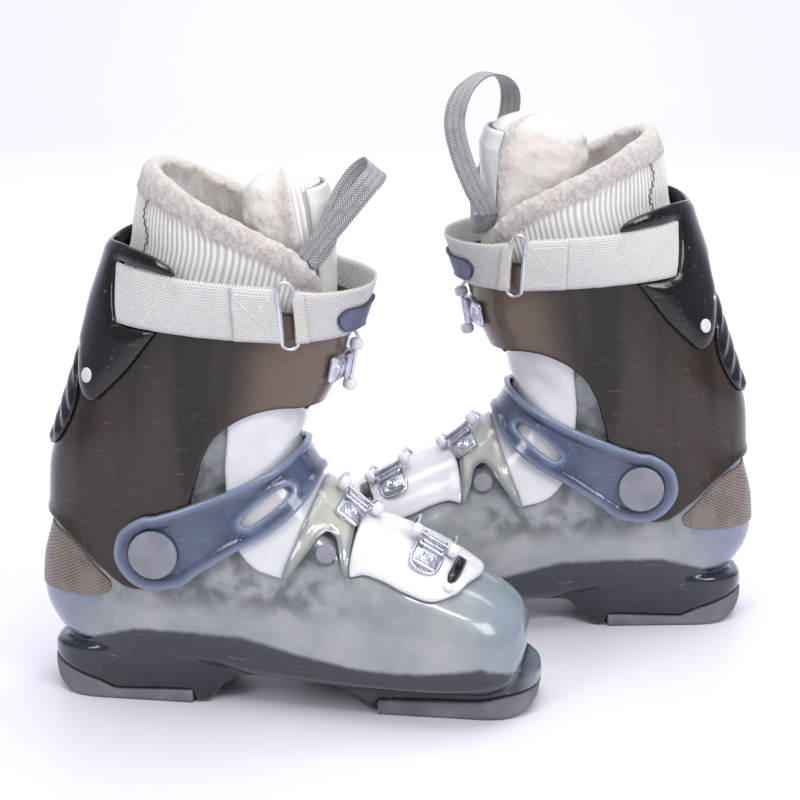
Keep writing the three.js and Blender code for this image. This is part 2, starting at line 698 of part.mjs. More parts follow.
// Flat webbing loop: closed centre line, each point with the direction across the webbing.
function pullLoop(line, width, thick) {
  const at = (k) => new THREE.CatmullRomCurve3(line.map((q) => new THREE.Vector3(...q.slice(k, k + 3))), true);
  const centre = at(0);
  const across = at(3);
  const n = 26;
  const rings = [];
  for (let i = 0; i < n; i += 1) {
    const p = centre.getPoint(i / n);
    const t = centre.getTangent(i / n);
    const side = across.getPoint(i / n);
    side.addScaledVector(t, -side.dot(t)).normalize();
    const nrm = new THREE.Vector3().crossVectors(side, t).normalize();
    rings.push([[-1, -1], [1, -1], [1, 1], [-1, 1]].map(([a, b]) => p.clone()
      .addScaledVector(side, (a * width) / 2).addScaledVector(nrm, (b * thick) / 2)));
  }
  return loft(rings, true);
}
const LOOP_LEFT = [
  [162.5, -31, 272, -0.78, 0, 0.62], [172, -29.5, 285, -0.78, 0, 0.62], [185, -29.5, 301, -0.78, 0, 0.62],
  [197, -27, 316, -0.78, 0, 0.62], [203, -19, 324, -0.78, 0, 0.62], [198, -9, 326, -0.78, 0, 0.62],
  [189, -5, 319, -0.78, 0, 0.62], [182, -10, 308, -0.78, 0, 0.62], [177.5, -18, 295, -0.78, 0, 0.62],
  [172, -29, 281, -0.78, 0, 0.62],
];
const LOOP_RIGHT = [
  [174, -27, 275, -0.9, 0, 0.3], [183, -30, 293, -0.95, 0, 0.3], [191, -29, 313, -0.97, 0, 0.2],
  [195, -27, 333, -1, 0, 0], [190, -22, 350, -0.9, -0.5, 0], [178, -10, 359, -0.5, -0.85, 0],
  [165, 8, 357, -0.5, -0.85, 0], [157, 24, 347, -0.8, -0.5, 0], [156, 34, 331, -1, 0, 0],
  [162, 36, 311, -1, 0, 0], [172, 32, 290, -0.7, 0.3, -0.6], [180.5, 18, 274, -0.2, 0.2, -0.95],
  [181.5, -6, 267, 0.1, 0, -1], [179, -20, 268, -0.5, 0, -0.85],
];

// ---------------------------------------------------------------- buckles
// Each buckle lies in a plane across the boot through a point of the front line.
const BUCKLES = {
  toe: { q: [232, 96.2], down: [0.87, -0.49], catchAt: -17.5, hinge: 45, reach: 29, seat: PLATE_OUT, base: 1.0, wire: 8.4 },
  instep: { q: [183.5, 118], down: [0.78, -0.63], catchAt: -11, hinge: 50, reach: 29, seat: FLAP_OUT, base: 5.4, wire: 11.4 },
  cuff: { q: [168.4, 211], down: [-0.17, -0.985], catchAt: -9, hinge: 42, reach: 38, seat: CUFF_LAP_OUT + 1.6, base: CUFF_OUT + 1.8, wire: 13 },
};
const BAIL_HALF = 12.8;
const WIRE = 1.3;

function buckleFrame(spec) {
  const [qx, qz] = spec.q;
  const len = Math.hypot(...spec.down);
  const bx = spec.down[0] / len;
  const bz = spec.down[1] / len;
  const nx = -bz;
  const nz = bx;
  const cut = (phi, s) => {
    const p = body(s, phi);
    return (p.x - qx) * bx + (p.z - qz) * bz;
  };
  let s0 = 0;
  for (let s = 0; s < LAST; s += 0.05) {
    if (Math.abs(cut(0, s)) < Math.abs(cut(0, s0))) s0 = s;
  }
  const pts = [];
  for (let i = -44; i <= 44; i += 1) {
    const phi = (i * 3 * PI) / 180;
    let best = null;
    for (let s = 0; s < LAST; s += 0.1) {
      if (cut(phi, s) * cut(phi, s + 0.1) > 0) continue;
      if (best === null || Math.abs(s - s0) < Math.abs(best - s0)) best = s;
    }
    let lo = best;
    let hi = best + 0.1;
    for (let k = 0; k < 24; k += 1) {
      const m = (lo + hi) / 2;
      if (cut(phi, lo) * cut(phi, m) <= 0) hi = m;
      else lo = m;
    }
    const p = body(lo, phi);
    pts.push([p.y, (p.x - qx) * nx + (p.z - qz) * nz]);
  }
  const mid = 44;
  const arc = [0];
  for (let i = 1; i < pts.length; i += 1) {
    arc.push(arc[i - 1] + Math.hypot(pts[i][0] - pts[i - 1][0], pts[i][1] - pts[i - 1][1]));
  }
  const zero = arc[mid];
  const flat = (tau) => {
    const t = tau + zero;
    let i = 1;
    while (i < arc.length - 1 && arc[i] < t) i += 1;
    const f = (t - arc[i - 1]) / (arc[i] - arc[i - 1]);
    return [0, 1].map((k) => pts[i - 1][k] + (pts[i][k] - pts[i - 1][k]) * f);
  };
  // In-plane point at arc length tau and height d, as [y, h].
  const at = (tau, d) => {
    const a = flat(tau - 1.5);
    const b = flat(tau + 1.5);
    const l = Math.hypot(b[0] - a[0], b[1] - a[1]);
    const p = flat(tau);
    return [p[0] - ((b[1] - a[1]) / l) * d, p[1] + ((b[0] - a[0]) / l) * d];
  };
  const place = ([y, h], k) => new THREE.Vector3(qx + nx * h + bx * k, y, qz + nz * h + bz * k);
  return { at, place, axis: new THREE.Vector3(bx, 0, bz) };
}

// Prism of an in-plane outline between two distances across the buckle.
function prism(frame, outline, k0, k1) {
  const contour = outline.map(([y, h]) => new THREE.Vector2(y, h));
  if (THREE.ShapeUtils.isClockWise(contour)) contour.reverse();
  const tris = THREE.ShapeUtils.triangulateShape(contour, []);
  const n = contour.length;
  const points = [];
  for (const k of [k0, k1]) contour.forEach((p) => points.push(frame.place([p.x, p.y], k)));
  const faces = [];
  for (const [a, b, c] of tris) faces.push([a, c, b], [a + n, b + n, c + n]);
  for (let i = 0; i < n; i += 1) {
    const j = (i + 1) % n;
    faces.push([i, j, j + n], [i, j + n, i + n]);
  }
  return indexed(points, faces);
}

// Outline of a strip along the surface between two arc lengths and two heights.
function strip(frame, t0, t1, n, low, high) {
  const out = [];
  for (let i = 0; i <= n; i += 1) out.push(frame.at(t0 + ((t1 - t0) * i) / n, high(i / n)));
  for (let i = n; i >= 0; i -= 1) out.push(frame.at(t0 + ((t1 - t0) * i) / n, low(i / n)));
  return out;
}

function buckle(spec) {
  const frame = buckleFrame(spec);
  const flatTop = spec.seat + 1.4;
  const tooth = flatTop + 2.4;
  // Toothed catch plate: a flat strip with three upright teeth at its outer end.
  const c0 = spec.catchAt;
  const top = [];
  const marks = [
    [-13, 0], [-1.9, 0], [-1.3, 2.4], [0.2, 2.4], [0.8, 0.4], [2.2, 0.4], [2.8, 2.4], [4.3, 2.4],
    [4.9, 0], [8.7, 0], [9.3, 2.4], [10.8, 2.4], [11.4, 0.4], [13, 0.4],
  ];
  for (const [t, h] of marks) top.push(frame.at(c0 + t, tooth + h - 0.4));
  for (let i = 6; i >= 0; i -= 1) top.push(frame.at(c0 - 13 + (26 * i) / 6, flatTop));
  const catchPlate = prism(frame, top, -8, 8);

  const hinge = frame.at(spec.hinge, 5.2 + spec.base);
  const pin = frame.at(spec.hinge + 8.2, 4.3 + spec.base);
  const p0 = frame.place(hinge, -11);
  const p1 = frame.place(hinge, 11);
  const plate = strip(frame, spec.hinge - 10, spec.hinge + 14, 3, () => spec.base, () => spec.base + 1.6);
  const ear = strip(frame, spec.hinge - 4.5, spec.hinge + 4.5, 2, () => spec.base + 0.4, () => spec.base + 8);
  const base = toSolid(prism(frame, plate, -11, 11))
    .add(toSolid(prism(frame, ear, -11, -9.5)))
    .add(toSolid(prism(frame, ear, 9.5, 11)))
    .add(toSolid(bar(p0, p1, 1.7, 8)));

  const hub = [];
  for (let i = 0; i < 8; i += 1) {
    const w = (2 * PI * i) / 8;
    hub.push([hinge[0] + 3.2 * Math.cos(w), hinge[1] + 3.2 * Math.sin(w)]);
  }
  const b = spec.base;
  const handle = strip(frame, spec.hinge - 0.5, spec.hinge + spec.reach, 6, () => b + 6.6, (v) => b + 9 - 0.8 * v * v);
  const lever = toSolid(prism(frame, hub, -9, 9))
    .add(toSolid(prism(frame, handle, -9, 9)))
    .subtract(toSolid(bar(frame.place(hinge, -14), frame.place(hinge, 14), 2.1, 8)));

  // Wire bail: round the pin, past both ears, over the front and behind a tooth.
  const crossAt = c0 + 6.8;
  const crossHigh = tooth + WIRE + 0.1;
  const start = spec.hinge + 8.2;
  const heightAt = (tau) => {
    const toHigh = Math.min(Math.max((start - tau) / 16, 0), 1);
    const toCross = Math.min(Math.max((crossAt + 16 - tau) / 14, 0), 1);
    const low = 4.3 + b + (Math.max(spec.wire, 4.3 + b) - 4.3 - b) * toHigh;
    return low + (crossHigh - low) * toCross;
  };
  const line = [];
  const steps = 8;
  for (let i = 0; i <= steps; i += 1) {
    const tau = start + ((crossAt - start) * i) / steps;
    line.push(frame.at(tau, heightAt(tau)));
  }
  const path = [];
  line.forEach((p) => path.push(frame.place(p, BAIL_HALF)));
  line.slice().reverse().forEach((p) => path.push(frame.place(p, -BAIL_HALF)));
  return {
    catch: catchPlate,
    base: fromSolid(base),
    lever: fromSolid(lever),
    bail: wireLoop(path, WIRE, 5),
    hinge: frame.place(hinge, 0),
    pin: frame.place(pin, 0),
    axis: frame.axis,
  };
}

// ---------------------------------------------------------------- materials
function paint(color, roughness, metalness) {
  return new THREE.MeshStandardMaterial({ color, roughness, metalness, side: THREE.DoubleSide });
}
const LOOKS = {
  lower_shell: () => paint(0x9aa3a6, 0.25, 0),
  toe_sole: () => paint(0x85868a, 0.7, 0),
  heel_sole: () => paint(0x7d7c7c, 0.7, 0),
  heel_insert: () => paint(0x6b5a4c, 0.6, 0),
  toe_plate: () => paint(0xe8e8e6, 0.3, 0),
  instep_flap: () => paint(0x8f968a, 0.3, 0),
  shell_tongue: () => paint(0xeeeeee, 0.25, 0),
  instep_yoke: () => paint(0x5b6f8f, 0.3, 0),
  pivot: () => paint(0x9b9b9b, 0.6, 0),
  cuff: () => paint(0x54463b, 0.2, 0),
  rear_collar: () => paint(0x15161a, 0.15, 0),
  power_strap: () => paint(0xd4d0c8, 0.8, 0),
  strap_ring: () => paint(0xb0b0b2, 0.3, 1),
  liner: () => paint(0xddd6cb, 0.95, 0),
  liner_tongue: () => paint(0xe4ddd2, 0.95, 0),
  pull_loop: () => paint(0x8e8b84, 0.85, 0),
  metal: () => paint(0xbfc2c6, 0.25, 1),
};

// ---------------------------------------------------------------- one boot
function bootPieces(loopLine, tongueRoute) {
  const pieces = {
    lower_shell: lowerShell(),
    toe_sole: pad(TOE_SIDE),
    heel_sole: pad(HEEL_SIDE),
    heel_insert: insertSlab(-1.3, -0.1, 0),
    toe_plate: toePlate(),
    instep_flap: instepFlap(),
    shell_tongue: shellTongue(),
    instep_yoke: instepYoke(),
    pivot_inner: pivot(-1),
    pivot_outer: pivot(1),
    cuff: cuff(),
    rear_collar: rearCollar(),
    power_strap: powerStrap(),
    strap_ring: strapRing(),
    liner: liner(),
    liner_tongue: linerTongue(tongueRoute),
    pull_loop: pullLoop(loopLine, 13, 1.8),
  };
  const joints = {
    cuff_flex: { pos: new THREE.Vector3(PIVOT_X, 0, PIVOT_Z), axis: new THREE.Vector3(0, 1, 0) },
  };
  for (const [name, spec] of Object.entries(BUCKLES)) {
    const made = buckle(spec);
    for (const part of ['catch', 'base', 'lever', 'bail']) pieces[`${name}_${part}`] = made[part];
    joints[`${name}_lever`] = { pos: made.hinge, axis: made.axis };
    joints[`${name}_bail`] = { pos: made.pin, axis: made.axis };
  }
  return { pieces, joints };
}

function lookOf(name) {
  if (LOOKS[name]) return LOOKS[name]();
  if (name.startsWith('pivot')) return LOOKS.pivot();
  return LOOKS.metal();
}

function flipWinding(geometry) {
  const list = Array.from(geometry.index.array);
  for (let i = 0; i < list.length; i += 3) {
    const keep = list[i + 1];
    list[i + 1] = list[i + 2];
    list[i + 2] = keep;
  }
  geometry.setIndex(list);
}

function addBoot(root, side, loopLine, tongueRoute) {
  const { pieces, joints } = bootPieces(loopLine, tongueRoute);
  const mirrored = side === 'right';
  const yaw = ((mirrored ? RIGHT_YAW : LEFT_YAW) * PI) / 180;
  const turn = new THREE.Matrix4().makeRotationZ(yaw);
  const move = new THREE.Matrix4().makeTranslation(mirrored ? RIGHT_X : 0, mirrored ? RIGHT_Y : 0, 0);
  const pose = new THREE.Matrix4().multiplyMatrices(move, turn);
  const full = mirrored ? pose.clone().multiply(new THREE.Matrix4().makeScale(-1, 1, 1)) : pose;
  for (const [name, geometry] of Object.entries(pieces)) {
    geometry.applyMatrix4(full);
    if (mirrored) flipWinding(geometry);
    geometry.computeVertexNormals();
    const mesh = new THREE.Mesh(geometry, lookOf(name));
    mesh.name = `${side}_${name}`;
    root.add(mesh);
  }
  for (const [name, joint] of Object.entries(joints)) {
    const axis = joint.axis.clone();
    if (mirrored) axis.set(axis.x, -axis.y, -axis.z);
    axis.transformDirection(turn);
    root.userData.joints[`${side}_${name}`] = { pos: joint.pos.clone().applyMatrix4(full), axis };
  }
}

const root = new THREE.Group();
root.name = 'alpine_ski_boots';
root.userData.joints = {};
addBoot(root, 'left', LOOP_LEFT, TONGUE_LEFT);
addBoot(root, 'right', LOOP_RIGHT, TONGUE_RIGHT);

// Origin at the middle of the footprint, on the floor.
const box = new THREE.Box3().setFromObject(root);
const shift = new THREE.Vector3(-(box.min.x + box.max.x) / 2, -(box.min.y + box.max.y) / 2, -box.min.z);
root.userData.shift = shift;
root.children.forEach((mesh) => mesh.position.copy(shift));
Object.values(root.userData.joints).forEach((joint) => joint.pos.add(shift));
root.userData.limits = { LEVER_TURN, BAIL_RATIO, CUFF_FLEX_MAX, RIGHT_LIFT };

export default root;
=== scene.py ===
"""Looks of a pair of alpine ski boots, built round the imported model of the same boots.

Each boot is described in its own frame, in millimetres: x forward from the heel tip, y across
(negative on the side with the buckle catches), z up. The right boot is the mirror image of the
left one. A point of the boot surface has a rib number s, from the toe up the leg, and an angle
phi round the rib, 0 along the top and front of the boot.
"""
import itertools
import json
import math

import bpy
import numpy as np
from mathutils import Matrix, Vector
from mathutils.geometry import delaunay_2d_cdt


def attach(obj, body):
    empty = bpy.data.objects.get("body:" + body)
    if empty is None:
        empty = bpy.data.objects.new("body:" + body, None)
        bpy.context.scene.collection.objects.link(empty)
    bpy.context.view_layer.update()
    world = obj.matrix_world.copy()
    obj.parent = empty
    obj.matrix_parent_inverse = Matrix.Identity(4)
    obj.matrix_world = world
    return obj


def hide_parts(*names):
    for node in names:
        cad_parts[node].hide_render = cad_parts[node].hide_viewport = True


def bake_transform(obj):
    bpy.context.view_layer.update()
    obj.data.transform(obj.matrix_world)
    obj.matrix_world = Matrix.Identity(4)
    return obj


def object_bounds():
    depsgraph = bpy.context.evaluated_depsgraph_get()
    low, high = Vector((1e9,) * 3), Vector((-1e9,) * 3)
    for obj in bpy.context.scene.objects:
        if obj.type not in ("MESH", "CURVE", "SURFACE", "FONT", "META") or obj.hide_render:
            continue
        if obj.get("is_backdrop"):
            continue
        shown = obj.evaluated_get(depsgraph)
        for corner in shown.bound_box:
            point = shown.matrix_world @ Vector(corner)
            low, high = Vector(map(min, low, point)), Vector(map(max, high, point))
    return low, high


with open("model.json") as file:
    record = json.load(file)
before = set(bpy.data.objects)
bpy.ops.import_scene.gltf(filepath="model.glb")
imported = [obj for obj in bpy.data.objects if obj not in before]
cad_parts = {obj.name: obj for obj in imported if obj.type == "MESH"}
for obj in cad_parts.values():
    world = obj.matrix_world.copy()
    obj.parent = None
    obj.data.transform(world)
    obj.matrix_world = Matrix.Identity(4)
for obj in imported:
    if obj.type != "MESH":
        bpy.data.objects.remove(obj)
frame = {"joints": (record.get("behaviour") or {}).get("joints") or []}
CAD_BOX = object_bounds()

PI = math.pi
MM = 0.001
SIDES = ("left", "right")
YAW = {"left": -8.22, "right": 1.94}
PIVOT = (76.0, 102.0)
SOLE_LENGTH = 300.0

# Ribs of the boot body, toe to leg: upper (or shin) point x z, lower (or rear) point x z, half
# width, height share of the widest line, roundness of the two halves, sideways shift.
RIBS = np.array([
    (292, 53, 292, 44, 12, 0.5, 2.0, 2.0, -6), (290, 60, 290, 33, 22, 0.5, 2.1, 2.4, -6),
    (284, 68, 285, 23, 32, 0.45, 2.2, 3.0, -5.5), (272, 76, 273, 18, 41, 0.42, 2.3, 3.4, -5),
    (255, 84, 256, 18, 47, 0.4, 2.3, 3.6, -4), (235, 95, 237, 18, 51, 0.38, 2.2, 3.8, -2.5),
    (215, 103, 216, 18, 53, 0.37, 2.1, 3.8, -1), (197, 110, 192, 18, 52, 0.37, 2.1, 3.8, 0),
    (180, 120, 165, 18, 50, 0.38, 2.2, 3.6, 0), (167, 130, 135, 18, 47.5, 0.4, 2.3, 3.4, 0),
    (156, 143, 100, 18, 45.5, 0.44, 2.4, 3.2, 0), (150, 158, 60, 18, 44.5, 0.48, 2.4, 3.0, 0),
    (154, 172, 22, 24, 44.5, 0.5, 2.4, 2.7, 0), (160, 184, -2, 50, 44.5, 0.5, 2.4, 2.5, 0),
    (167, 198, -4, 80, 44.5, 0.5, 2.4, 2.4, 0), (173, 212, 3, 110, 45, 0.5, 2.4, 2.3, 0),
    (177, 228, 6, 145, 46, 0.5, 2.3, 2.3, 0), (182, 243, 15, 172, 47.5, 0.5, 2.3, 2.2, 0),
    (187, 257, 27, 206, 49.5, 0.5, 2.2, 2.2, 0), (190, 268, 37, 238, 51, 0.5, 2.2, 2.2, 0),
    (190, 280, 50, 274, 51.5, 0.5, 2.2, 2.2, 0), (186, 295, 53, 292, 50, 0.5, 2.2, 2.2, 0),
    (180, 311, 56, 308, 48, 0.5, 2.2, 2.2, 0), (172, 325, 60, 322, 46, 0.5, 2.2, 2.2, 0),
], float)
LAST = len(RIBS) - 1
DOMAIN = np.array([18.0, 46.0])  # about how many mm one rib and one radian are


# ---------------------------------------------------------------- boot surface
def smooth(v):
    u = np.clip(v, 0.0, 1.0)
    return u * u * (3 - 2 * u)


def rib(s):
    t = np.clip(np.asarray(s, float), 0, LAST)
    i = np.minimum(np.floor(t).astype(int), LAST - 1)
    f = (t - i)[..., None]
    a, b = RIBS[np.maximum(i - 1, 0)], RIBS[i]
    c, d = RIBS[i + 1], RIBS[np.minimum(i + 2, LAST)]
    r = 2 * a - 5 * b + 4 * c - d
    u = 3 * b - a - 3 * c + d
    return 0.5 * (2 * b + (c - a) * f + r * f**2 + u * f**3)


def body(s, phi, inset=0.0):
    """Points of the boot surface, drawn in by inset within the rib plane."""
    s, phi, inset = np.broadcast_arrays(np.asarray(s, float), np.asarray(phi, float), inset)
    r = rib(s)
    up, low = r[..., 0:2], r[..., 2:4]
    half, c, nt, nb, yc = (r[..., k] for k in range(4, 9))
    span = up - low
    length = np.linalg.norm(span, axis=-1)
    co, si = np.cos(phi), np.sin(phi)
    top = c + (1 - c) * np.power(np.maximum(co, 0), 2 / nt)
    bottom = c - c * np.power(np.maximum(-co, 0), 2 / nb)
    g = inset + (length - 2 * inset) * np.where(co >= 0, top, bottom)
    n = np.where(co >= 0, nt, nb)
    y = yc + np.maximum(half - inset, 1) * np.sign(si) * np.power(np.abs(si), 2 / n)
    xz = low + span / length[..., None] * g[..., None]
    return np.stack([xz[..., 0], y, xz[..., 1]], -1)


def slopes(s, phi, e=0.03):
    along = (body(s + e, phi) - body(s - e, phi)) / (2 * e)
    around = (body(s, phi + e) - body(s, phi - e)) / (2 * e)
    return along, around


def normal(s, phi):
    s, phi = np.broadcast_arrays(np.asarray(s, float), np.asarray(phi, float))
    n = np.cross(*slopes(s, phi))
    n /= np.maximum(np.linalg.norm(n, axis=-1, keepdims=True), 1e-9)
    r = rib(s)
    middle = np.stack([(r[..., 0] + r[..., 2]) / 2, r[..., 8], (r[..., 1] + r[..., 3]) / 2], -1)
    turned = np.sum(n * (body(s, phi) - middle), -1) < 0
    return np.where(turned[..., None], -n, n)


def over(s, phi, d):
    """Points at height d over the boot surface."""
    return body(s, phi) + normal(s, phi) * np.asarray(d, float)[..., None]


def inside(s, phi, depth):
    """Points at a depth inside the surface, straight in at the front of the leg."""
    f = smooth(np.cos(phi) * 1.6) * smooth((np.asarray(s, float) - 8.5) / 1.5)
    s, phi, f, depth = np.broadcast_arrays(s, phi, f, depth)
    return body(s, phi, depth) * (1 - f[..., None]) + over(s, phi, -depth) * f[..., None]


FINE = np.arange(0, LAST, 0.01)
FINE_RIBS = rib(FINE)


def locate(x, z):
    """Rib number and angle of the surface point seen at x, z from the side."""
    up, low = FINE_RIBS[:, 0:2], FINE_RIBS[:, 2:4]
    d, q = up - low, np.array([x, z]) - low
    cross = d[:, 0] * q[:, 1] - d[:, 1] * q[:, 0]
    share = np.sum(q * d, 1) / np.sum(d * d, 1)
    miss = np.maximum(0, np.maximum(-share, share - 1))
    hits = np.nonzero(cross[:-1] * cross[1:] <= 0)[0]
    i = hits[np.argmin(miss[hits])]
    f = cross[i] / (cross[i] - cross[i + 1] + 1e-12)
    g = float(np.clip(share[i], 0, 1))
    c, nt, nb = FINE_RIBS[i, 5:8]
    if g >= c:
        return (FINE[i] + 0.01 * f, math.acos(((g - c) / (1 - c)) ** (nt / 2)))
    return (FINE[i] + 0.01 * f, math.acos(-(((c - g) / c) ** (nb / 2))))


def front(z, phi=0.0):
    return (float(np.interp(z, FINE_RIBS[:, 1], FINE)), phi)


def rear(z):
    first = 1150
    return (float(np.interp(z, FINE_RIBS[first:, 3], FINE[first:])), PI)


def keys(points):
    return [locate(x, z) for x, z in points]


def flip(points):
    return [(s, -phi) for s, phi in points]


def around(points):
    return [(s, 2 * PI - phi) for s, phi in points]


def dense(points, step=1.4, closed=True):
    """Smooth curve through rib and angle keys, resampled at about step mm."""
    p = np.array(points, float) * DOMAIN
    n = len(p)
    out = []
    for i in range(n if closed else n - 1):
        if closed:
            a, b, c, d = p[i - 1], p[i], p[(i + 1) % n], p[(i + 2) % n]
        else:
            a, b, c, d = p[max(i - 1, 0)], p[i], p[i + 1], p[min(i + 2, n - 1)]
        t1 = max(np.linalg.norm(b - a), 1e-6) ** 0.5
        t2 = max(np.linalg.norm(c - b), 1e-6) ** 0.5
        t3 = max(np.linalg.norm(d - c), 1e-6) ** 0.5
        m1 = (c - b) / t2 - (c - a) / (t1 + t2) + (b - a) / t1
        m2 = (d - c) / t3 - (d - b) / (t2 + t3) + (c - b) / t2
        if np.linalg.norm(b - a) < 1e-6:
            m1 = (c - b) / t2
        if np.linalg.norm(d - c) < 1e-6:
            m2 = (c - b) / t2
        m1, m2 = m1 * t2, m2 * t2
        for f in np.linspace(0, 1, 24, endpoint=False):
            out.append((2 * f**3 - 3 * f**2 + 1) * b + (f**3 - 2 * f**2 + f) * m1
                       + (3 * f**2 - 2 * f**3) * c + (f**3 - f**2) * m2)
    out.append(p[0] if closed else p[-1])
    out = np.array(out) / DOMAIN
    place3 = body(out[:, 0], out[:, 1])
    length = np.concatenate([[0], np.cumsum(np.linalg.norm(np.diff(place3, axis=0), axis=1))])
    count = max(int(round(length[-1] / step)), 6)
    at = np.linspace(0, length[-1], count + 1)
    if closed:
        at = at[:-1]
    return np.stack([np.interp(at, length, out[:, k]) for k in (0, 1)], 1)


# ---------------------------------------------------------------- meshes
def joint_row(name):
    return next(j for j in frame["joints"] if j["name"] == name)


def turned(points, side):
    a = math.radians(YAW[side])
    p = np.array(points, float).reshape(-1, 3)
    x = p[:, 0] * (-1 if side == "right" else 1)
    return np.stack([
        x * math.cos(a) - p[:, 1] * math.sin(a),
        x * math.sin(a) + p[:, 1] * math.cos(a),
        p[:, 2],
    ], 1) * MM


HOME = {}
for _side in SIDES:
    _pivot = turned([(PIVOT[0], 0, PIVOT[1])], _side)[0]
    HOME[_side] = np.array(joint_row(f"{_side}_cuff_flex")["pos_m"]) - _pivot


def place(points, side):
    """Boot-frame points in mm, as row-frame points in metres."""
    return turned(points, side) + HOME[side]


def hash_noise(p, size, seed=0):
    """Smooth noise from -1 to 1 with features of about size, the same on every run."""
    q = np.asarray(p, float) / size
    i = np.floor(q).astype(np.int64)
    f = q - i
    f = f * f * (3 - 2 * f)
    total = np.zeros(q.shape[:-1])
    for corner in itertools.product((0, 1), repeat=3):
        c = np.array(corner)
        h = np.sum((i + c) * np.array([73856093, 19349663, 83492791]), -1) + seed * 2654435
        h = (h ^ (h >> 13)) * 1274126177 & 0x7FFFFFFF
        h = (h ^ (h >> 15)) * 83492791 & 0x7FFFFFFF
        weight = np.prod(np.where(c == 1, f, 1 - f), -1)
        total += weight * (h % 10007) / 10007
    return total * 2 - 1


def add_layer(mesh, name, values):
    values = np.asarray(values, np.float32)
    kind = "FLOAT" if values.ndim == 1 else "FLOAT_VECTOR"
    layer = mesh.attributes.new(name, kind, "POINT")
    layer.data.foreach_set("value" if values.ndim == 1 else "vector", values.ravel())


def signed_volume(points, faces):
    total = 0.0
    for size in (3, 4):
        f = np.array([x for x in faces if len(x) == size], int)
        for k in range(1, size - 1):
            if len(f):
                a, b, c = points[f[:, 0]], points[f[:, k]], points[f[:, k + 1]]
                total += float(np.sum(a * np.cross(b, c)))
    return total


def build(side, name, points, faces, body_name, look, node=None, layers=None, edge=9.0):
    """Adds one piece of a boot, given in boot-frame mm, and ties it to its body.

    node is the CAD node that it stands for, and layers are values for each point that its material
    reads. edge is the distance from the piece's rim in mm, where layers doesn't give it.
    """
    points = np.asarray(points, float).reshape(-1, 3)
    world = place(points, side)
    faces = [tuple(int(i) for i in f) for f in faces]
    if signed_volume(world - world.mean(0), faces) < 0:
        faces = [f[::-1] for f in faces]
    mesh = bpy.data.meshes.new(f"{side}_{name}")
    mesh.from_pydata(world.tolist(), [], faces)
    add_layer(mesh, "local", points)
    for key, values in {"edge": np.full(len(points), edge), **(layers or {})}.items():
        add_layer(mesh, key, values)
    mesh.polygons.foreach_set("use_smooth", [True] * len(mesh.polygons))
    mesh.update()
    obj = bpy.data.objects.new(f"{side}_{name}", mesh)
    bpy.context.scene.collection.objects.link(obj)
    obj.data.materials.append(LOOKS[look])
    if body_name:
        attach(obj, f"{side}_{body_name}")
    if node:
        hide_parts(f"{side}_{node}")
    return obj


def crossings(points, loop):
    """Even-odd test: True where a point lies inside the loop."""
    x, y = points[:, 0:1], points[:, 1:2]
    ax, ay = loop[:, 0][None], loop[:, 1][None]
    bx, by = np.roll(loop[:, 0], -1)[None], np.roll(loop[:, 1], -1)[None]
    spans = (ay > y) != (by > y)
    with np.errstate(divide="ignore", invalid="ignore"):
        hit = x < (bx - ax) * (y - ay) / (by - ay) + ax
    return (spans & hit).sum(1) % 2 == 1


def nearest(points, targets):
    best = np.full(len(points), 1e9)
    for k in range(0, len(points), 2000):
        d = points[k:k + 2000, None] - targets[None]
        best[k:k + 2000] = np.sqrt((d * d).sum(-1)).min(1)
    return best


